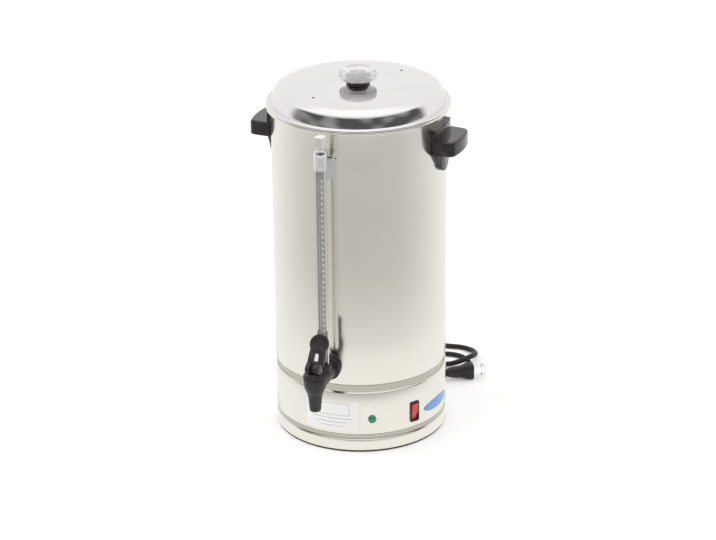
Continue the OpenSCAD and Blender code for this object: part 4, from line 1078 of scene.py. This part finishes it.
def makeGuard():
    g = gaugePlan
    outer, inner, lip = g["guardHalf"], g["guardHalf"] - g["sheet"], g["lipDepth"]
    section = [(outer - 0.1, -lip), (outer, -lip + 0.2)] + arc(0, 0, outer, 0, 180, 24)
    section += [(-outer, -lip + 0.2), (-outer + 0.1, -lip), (-inner - 0.1, -lip), (-inner, -lip + 0.2)]
    section += arc(0, 0, inner, 180, 0, 24) + [(inner, -lip + 0.2), (inner + 0.1, -lip)]
    pieces = [liftSection("gaugeGuard", section, g["low"], g["guardHigh"])]
    for side in (-1, 1):
        at = (side * (outer - g["hem"]), g["y"] - lip + g["hem"])
        pieces.append(addRod("guardHem", g["hem"], (*at, g["low"]), (*at, g["guardHigh"] - 0.2), 24))
    guard = joinPieces("gaugeGuard", pieces)
    smoothBy(40)
    dress(guard, "chrome", "urn", ["gauge_guard"])


def makeGlass():
    g = gaugePlan
    r, inner = g["glassR"], g["glassR"] - g["glassT"]
    low, high = g["glassLow"], g["glassHigh"]
    wall = [(inner, low + 0.3), (inner + 0.3, low), (r - 0.3, low), (r, low + 0.3)]
    wall += [(r, low + (high - low) * i / 4) for i in range(1, 4)]
    wall += [(r, high - 0.3), (r - 0.3, high), (inner + 0.3, high), (inner, high - 0.3)]
    glass = turnPiece("gaugeGlass", wall, 48, (0, g["y"]))
    glass.visible_shadow = False
    dress(glass, "gaugeClear", "urn", ["gauge_glass"])


def makeScale():
    # the printed strip behind the glass, with its cup lines; both carry a faint painted glow in their
    # materials
    g = gaugePlan
    back = g["guardHalf"] - g["sheet"]
    section = arc(0, 0, back, 18, 162, 16) + arc(0, 0, back - 0.5, 162, 18, 16)
    strip = liftSection("scaleStrip", section, g["low"] + 0.5, g["guardHigh"] - 1)
    dress(strip, "scaleGrey", "urn", ["gauge_scale"])
    marks = []
    y = g["y"] + back - 1.2
    for i in range(int((g["sleeveLow"] - g["low"] - 20) / g["markStep"])):
        z = g["low"] + 12 + i * g["markStep"]
        wide, tall = (3.2, 1.6) if i % 5 == 0 else (1.8, 2.4)
        marks.append(addBlock("cupLine", (-wide, y, z), (wide, y + 0.3, z + tall)))
    dress(joinPieces("cupLines", marks), "scaleMarks", "urn")


def makeSleeve():
    g = gaugePlan
    r, low, high, glass = g["sleeveR"], g["sleeveLow"], g["sleeveHigh"], g["glassR"]
    bore = math.hypot(g["guardHalf"], g["lipDepth"]) + 0.05
    profile = [(bore, low + 0.2), (bore + 0.2, low)]
    profile += offset(r, low, [(-0.3, 0), (0, 0.3), (0, 4), (-0.25, 4.4), (-0.25, 5.6), (0, 6)])
    profile += offset(r, high, [(0, -4.2), (-0.4, -3.2)])
    profile += offset(glass, high, [(3.0, -0.3), (2.4, 0), (0.1, 0), (0.1, -1), (1.5, -1)])
    profile += [(glass + 1.5, g["guardHigh"]), (bore, g["guardHigh"])]
    sleeve = turnPiece("gaugeSleeve", profile, 64, (0, g["y"]), 30)
    dress(sleeve, "chrome", "urn", ["gauge_sleeve"])


def makeCap():
    # a hexagon cap nut on a short coned neck
    g = gaugePlan
    flats, low, high, axis = g["capFlats"] / 2, g["capLow"], g["capHigh"], (0, g["y"])
    corner, bore = flats / math.cos(math.radians(30)), g["glassR"] + 0.1
    neck = offset(g["glassR"], g["sleeveHigh"], [(0.1, 0), (1.4, 0), (1.2, 1)])
    neckPiece = turnPiece("capNeck", neck + [(flats - 0.6, low), (bore, low)], 48, axis, 30)
    nut = liftSection("capNut", arc(0, 0, corner, 0, 300, 5), low, high - 0.9)
    dome = [(0, low - 5), (corner + 4, low - 5), (corner + 4, high - 3.4)]
    dome += offset(flats, high, [(0.2, -1.2), (-1.6, -0.3), (-3.4, 0)]) + [(0, high)]
    carve(nut, turnPiece("capTurning", dome, 64, axis), "INTERSECT")
    crown = offset(flats, high, [(-0.4, -1.6), (-0.7, -0.9), (-1.8, -0.2), (-3.4, 0)])
    crownPiece = turnPiece("capCrown", [(0, high - 1.6)] + crown + [(0, high)], 48, axis, 30)
    carve(nut, addRod("capBore", bore, (*axis, low - 6), (*axis, low + 4.2)))
    cap = joinPieces("gaugeCap", [nut, neckPiece, crownPiece])
    smoothBy(30)
    dress(cap, "capSteel", "urn", ["gauge_cap"])


def makeBracket():
    # a foot on the wall with rounded corners, and a web out to the sleeve
    g = gaugePlan
    low, high, half, web = g["bracketLow"], g["bracketHigh"], g["bracketHalf"], g["web"]
    middle, tall = (low + high) / 2, (high - low) / 2
    foot = addBlock("bracketFoot", (-half, -bodyR - 10, low), (half, -bodyR + 10, high))
    bevelEdges(foot, 3, 4, lambda p: abs(abs(p.x) - half) < tiny and abs(abs(p.z - middle) - tall) < tiny)
    fitToWall(foot, bodyR + 1.5, low - 5, high + 5)
    arm = addBlock("bracketArm", (-web, g["y"], low), (web, -bodyR + 0.2, high))
    carve(arm, addRod("sleeveSeat", g["sleeveR"] + 0.02, (0, g["y"], low - 5), (0, g["y"], high + 5), 96))
    roundEdges(arm, 0.8, 3)
    carve(arm, addRod("armBack", bodyR + wallGap, (0, 0, low - 5), (0, 0, high + 5), 360))
    bracket = joinPieces("gaugeBracket", [foot, arm])
    smoothBy(30)
    dress(bracket, "chrome", "urn", ["gauge_bracket"])


makeGuard()
makeGlass()
makeScale()
makeSleeve()
makeCap()
makeBracket()
print("gauge made")


# switch, pilot lamp, label and badge on the skirt

controlPlan = {
    "switchAz": bodyPlan["switchAz"], "z": bodyPlan["switchZ"], "pilotAz": 27.4, "bezelW": 14, "bezelH": 28,
    "proud": 1.5, "frame": 2, "corner": 2.2, "pivot": bodyR - 1.5, "rockerTilt": 10, "pilotR": 5.3,
    "labelHalf": 19.5, "labelLow": 30, "labelHigh": 70, "badgeAz": 83, "badgeHalf": 16, "badgeSteps": 28,
    "badgeLow": lowOf("badge", 2), "badgeHigh": highOf("badge", 2),
    "boxLow": 51, "boxHigh": 67.5, "boxHalf": 12.4, "rule": 0.45,
}


def turnRound(piece, degrees):
    # from the +Y side of the urn to the place at this angle from the tap
    return place(piece, turn=(0, 0, degrees - 180))


def makeSwitch():
    c = controlPlan
    w, h, z, face, frameW = c["bezelW"] / 2, c["bezelH"] / 2, c["z"], bodyR + c["proud"], c["frame"]
    outline = []
    for sx, sz, start in ((1, 1, 0), (-1, 1, 90), (-1, -1, 180), (1, -1, 270)):
        outline += arc(sx * (w - c["corner"]), sz * (h - c["corner"]), c["corner"], start, start + 90, 5)
    bezel = liftPiece("switchBezel", [(px, bodyR - 1, z + pz) for px, pz in outline], (0, c["proud"] + 1, 0))
    bevelEdges(bezel, 0.7, 4, lambda p: p.y > face - tiny)
    box = addBlock("switchBox", (1 - w, bodyR - 20, z + 1 - h), (w - 1, bodyR - 0.9, z + h - 1))
    for piece in (bezel, box):
        carve(piece, addBlock("switchRoom", (frameW - w, bodyR - 9, z + frameW - h),
                              (w - frameW, bodyR + 9, z + h - frameW)))
    pieces = [bezel, roundEdges(box, 0.3, 2)]
    for dz in (-8, 0, 8):
        tab = addBlock("switchTab", (-2.4, bodyR - 28, z + dz - 0.4), (2.4, bodyR - 19, z + dz + 0.4))
        pieces.append(roundEdges(tab, 0.2, 2))
    housing = joinPieces("switchHousing", pieces)
    turnRound(housing, c["switchAz"])
    smoothBy(35)
    dress(housing, "switchPlastic", "urn", ["switch_housing"])


def makeRocker():
    # two shallow faces that meet over the pivot, tipped to its rest place
    c = controlPlan
    w, half = c["bezelW"] / 2 - c["frame"] - 0.3, c["bezelH"] / 2 - 2.5
    lower = [(3.4 - 1.2 * t - 0.55 * math.sin(math.pi * t), -half * t)
             for t in (1, 0.85, 0.7, 0.5, 0.3, 0.15)]
    upper = [(y, -z) for y, z in lower[::-1]]
    section = lower + [(3.35, 0)] + upper + [(-1, half - 0.8), (-5, 3), (-5, -3), (-1, 0.8 - half)]
    rocker = liftPiece("rockerCap", [(-w, y, z) for y, z in section], (2 * w, 0, 0))
    roundEdges(rocker, 0.45, 3, 40)
    pin = addRod("rockerPin", 1.2, (-w - 0.2, 0, 0), (w + 0.2, 0, 0), 32)
    rocker = joinPieces("rockerCap", [rocker, pin])
    place(rocker, turn=(-c["rockerTilt"], 0, 0))
    place(rocker, at=(0, c["pivot"], c["z"]))
    turnRound(rocker, c["switchAz"])
    smoothBy(35)
    dress(rocker, "redPlastic", "rocker", ["rocker"])


def makePilot():
    c = controlPlan
    r = c["pilotR"]
    lens = [(0, -8.2), (r - 2, -8.2)]
    lens += offset(r, 0, [(-2, 0), (-0.1, 0), (0, 0.15), (0, 0.9), (-0.35, 1.5), (-1.2, 2.2), (-2.4, 2.75),
                          (-3.8, 3.1)])
    piece = turnPiece("pilotLens", lens + [(0, 3.4)], 48)
    place(piece, turn=(-90, 0, 0), at=(0, bodyR + 0.2, c["z"]))
    turnRound(piece, c["pilotAz"])
    dress(piece, "greenLens", "urn", ["pilot_lens"])


def wallPatch(name, middle, half, low, high, inner, thick, corner=0, steps=24):
    # a thin sheet that follows the skirt's wall, seen from the tap's side
    profile = [(inner, low), (inner + thick, low), (inner + thick, high), (inner, high), (inner, low)]
    x, y = azimuth(middle + half, 1, 0)[:2]
    piece = drawChain(name, [(r * x, r * y, height) for r, height in profile])
    bpy.ops.mesh.spin(steps=steps, angle=math.radians(2 * half), center=(0, 0, 0), axis=(0, 0, 1))
    chooseAll()
    bpy.ops.mesh.remove_doubles(threshold=seam)
    bpy.ops.mesh.fill_holes(sides=0)
    settle(piece)
    if corner:
        ends = [Vector(azimuth(middle + side * half, 1, 0)).xy for side in (-1, 1)]
        bevelEdges(piece, corner, 6, lambda p: min(abs(p.z - low), abs(p.z - high)) < tiny
                   and min((p.xy.normalized() - e).length for e in ends) < 0.0005)
    return piece


def makeLabel():
    # a plain sheet with an empty framed box and rules in the place of print
    c = controlPlan
    face = bodyR + wallGap
    sheet = wallPatch("frontLabel", 0, c["labelHalf"], c["labelLow"], c["labelHigh"], face, 0.25, 1.2)
    dress(sheet, "stickerWhite", "urn", ["front_label"])
    low, high, half, rule = c["boxLow"], c["boxHigh"], c["boxHalf"], c["rule"]
    rules = [(0, half, z, z + rule) for z in (low, high - rule)]
    rules += [(side * (half - 0.12), 0.12, low, high) for side in (-1, 1)]
    rules += [(0, 14 - 3 * i, 46 - 5.2 * i, 46.6 - 5.2 * i) for i in range(3)]
    strips = [wallPatch("labelRule", *r, face + 0.25, 0.05, 0, 2 if r[0] else 24) for r in rules]
    dress(joinPieces("labelRules", strips), "stickerInk", "urn")


def makeBadge():
    c = controlPlan
    low, high = c["badgeLow"], c["badgeHigh"]
    middle, half = (low + high) / 2, (high - low) / 2
    rings = []
    for i in range(c["badgeSteps"] + 1):
        turn = math.pi * (i + 0.12) / (c["badgeSteps"] + 0.24)
        tall = half * math.sin(turn)
        ring = []
        for radius, z in ((0.05, -tall), (0.4, -tall), (0.4, tall), (0.05, tall)):
            ring.append(azimuth(c["badgeAz"] - c["badgeHalf"] * math.cos(turn), bodyR + radius, middle + z))
        rings.append(ring)
    badge = spanRings("sideBadge", rings, 30)
    dress(badge, "badgeBlue", "urn", ["badge"])


makeSwitch()
makeRocker()
makePilot()
makeLabel()
makeBadge()
print("controls made")


# plug and gland

plugPlan = {"face": (103, 155.1), "turn": 30, "middle": 11, "half": 8.5, "halfHigh": 11, "body": 34,
            "tail": 26, "bladeGap": 6.35, "blade": (16, 3.2, 0.75), "tailRings": 9}
glandPlan = {"low": 96, "end": highOf("cord_gland", 1), "bore": 3.5, "rings": 8, "z": 30}


def plugRing(x, halfY, halfZ, corner):
    # a rounded oblong across the plug at x
    ring = []
    for sy, sz, start in ((1, 1, 0), (-1, 1, 90), (-1, -1, 180), (1, -1, 270)):
        quarter = arc(sy * (halfY - corner), sz * (halfZ - corner), corner, start, start + 90, 6)
        ring += [(x, y, z) for y, z in quarter]
    return ring


def ribbedTaper(low, high, count, radiusAt, rib, pitch):
    # ribs along a taper, each rib long, with a groove up to pitch
    points = []
    for i in range(count):
        z = low + i * (high - low) / count
        points += offset(radiusAt(z), z, [(0, 0), (0, rib), (-0.8, rib + 0.3), (-0.8, pitch)])
    return points


def seatPlug(piece):
    p = plugPlan
    return place(piece, turn=(0, 0, p["turn"]), at=(*p["face"], p["middle"]))


def makePlug():
    p = plugPlan
    w, h = p["half"], p["halfHigh"]
    stations = [(0, w - 1.6, h - 1.6, 3), (-0.4, w - 0.7, h - 0.7, 4), (-1.4, w, h, 5), (-8, w, h, 5.5),
                (-11, w - 0.4, h - 0.6, 5.5), (-14, w - 1.3, h - 2.0, 5.2), (-19, w - 1.8, h - 3.0, 5),
                (-26, w - 1.9, h - 3.4, 5), (-31, w - 2.3, h - 4.2, 5), (-p["body"], w - 2.6, h - 5.2, 5)]
    body = spanRings("plugBody", [plugRing(*s) for s in stations], 30)
    long = p["tail"]
    low, high = -p["body"] - long, -p["body"] + 2
    tail = [(0, low), (4.3, low), (4.5, low + 0.4)]
    tail += ribbedTaper(low + 2, low + long - 2, p["tailRings"],
                        lambda z: 4.5 + 1.4 * (z - low) / long, 1.3, 2.2)
    relief = turnPiece("plugRelief", tail + [(5.9, -p["body"] - 1), (6, high), (0, high)], 40)
    place(relief, turn=(0, 90, 0))
    plug = joinPieces("plugBody", [body, relief])
    seatPlug(plug)
    smoothBy(32)
    return dress(plug, "plugPlastic", "urn", ["plug_body"])


def makeBlades():
    p = plugPlan
    long, half, thin = p["blade"]
    pair = []
    for side in (-1, 1):
        z = side * p["bladeGap"]
        blade = addBlock("plugBlade", (-1, -half, z - thin), (long, half, z + thin))
        bevelEdges(blade, 1.6, 3, lambda q: q.x > long - 0.01 and abs(abs(q.y) - half) < 0.01)
        carve(blade, addRod("bladeHole", 1.5, (long - 4, 0, z - 3), (long - 4, 0, z + 3), 24))
        pair.append(roundEdges(blade, 0.2, 2))
    blades = joinPieces("plugBlades", pair)
    seatPlug(blades)
    smoothBy(32)
    return dress(blades, "chrome", "urn", ["plug_pins"])


def makeGland():
    # the flange on the skirt's back and the ribbed taper that guards the cord
    g = glandPlan
    low, face, end, bore = g["low"], bodyR, g["end"], g["bore"]
    profile = [(bore, low), (6, low), (6, face)]
    profile += offset(0, face, [(9.6, 0), (10, 0.5), (10, 2.4), (9.4, 3), (7.2, 3.6), (6.7, 5)])
    profile += ribbedTaper(face + 6.5, end - 2, g["rings"],
                           lambda y: 6.6 - 2.0 * (y - face - 5) / (end - face - 5), 1.6, 3.0)
    gland = turnPiece("cordGland", profile + [(4.4, end - 0.3), (4.2, end), (bore, end)], 40)
    place(gland, turn=(-90, 0, 0), at=(0, 0, g["z"]))
    dress(gland, "cordRubber", "urn", ["cord_gland"])


makeGland()
makePlug()
makeBlades()
print("plug and gland made")


# carried-over parts keep their shape and get their finish

finishes = {
    "innerSteel": ["tank_bottom", "tie_rods", "rod_nuts", "handle_screws", "shank_nut", "valve_spring",
                   "lever_pin", "bracket_screw", "knob_stud", "knob_nut", "pump_foot",
                   "pump_tube", "lid_lip"],
    "perforatedSteel": ["basket", "basket_cover"],
    "coverPaint": ["bottom_cover"],
    "cordRubber": ["shank_seals", "seat_cup", "gauge_seals"],
    "tapPlastic": ["valve_stem"],
    "switchPlastic": ["pilot_housing", "gland_nut"],
    "castAluminium": ["heating_plate", "thermostat", "thermal_cutout"],
    "sheath": ["heating_element"],
    "ceramic": ["heater_terminals", "terminal_block"],
    "leadSleeve": ["internal_leads"],
    "brass": ["earth_stud"],
}
for material, names in finishes.items():
    for name in names:
        node = nodes[name]
        node.data.materials.clear()
        node.data.materials.append(looks[material])
print("carried-over parts finished")
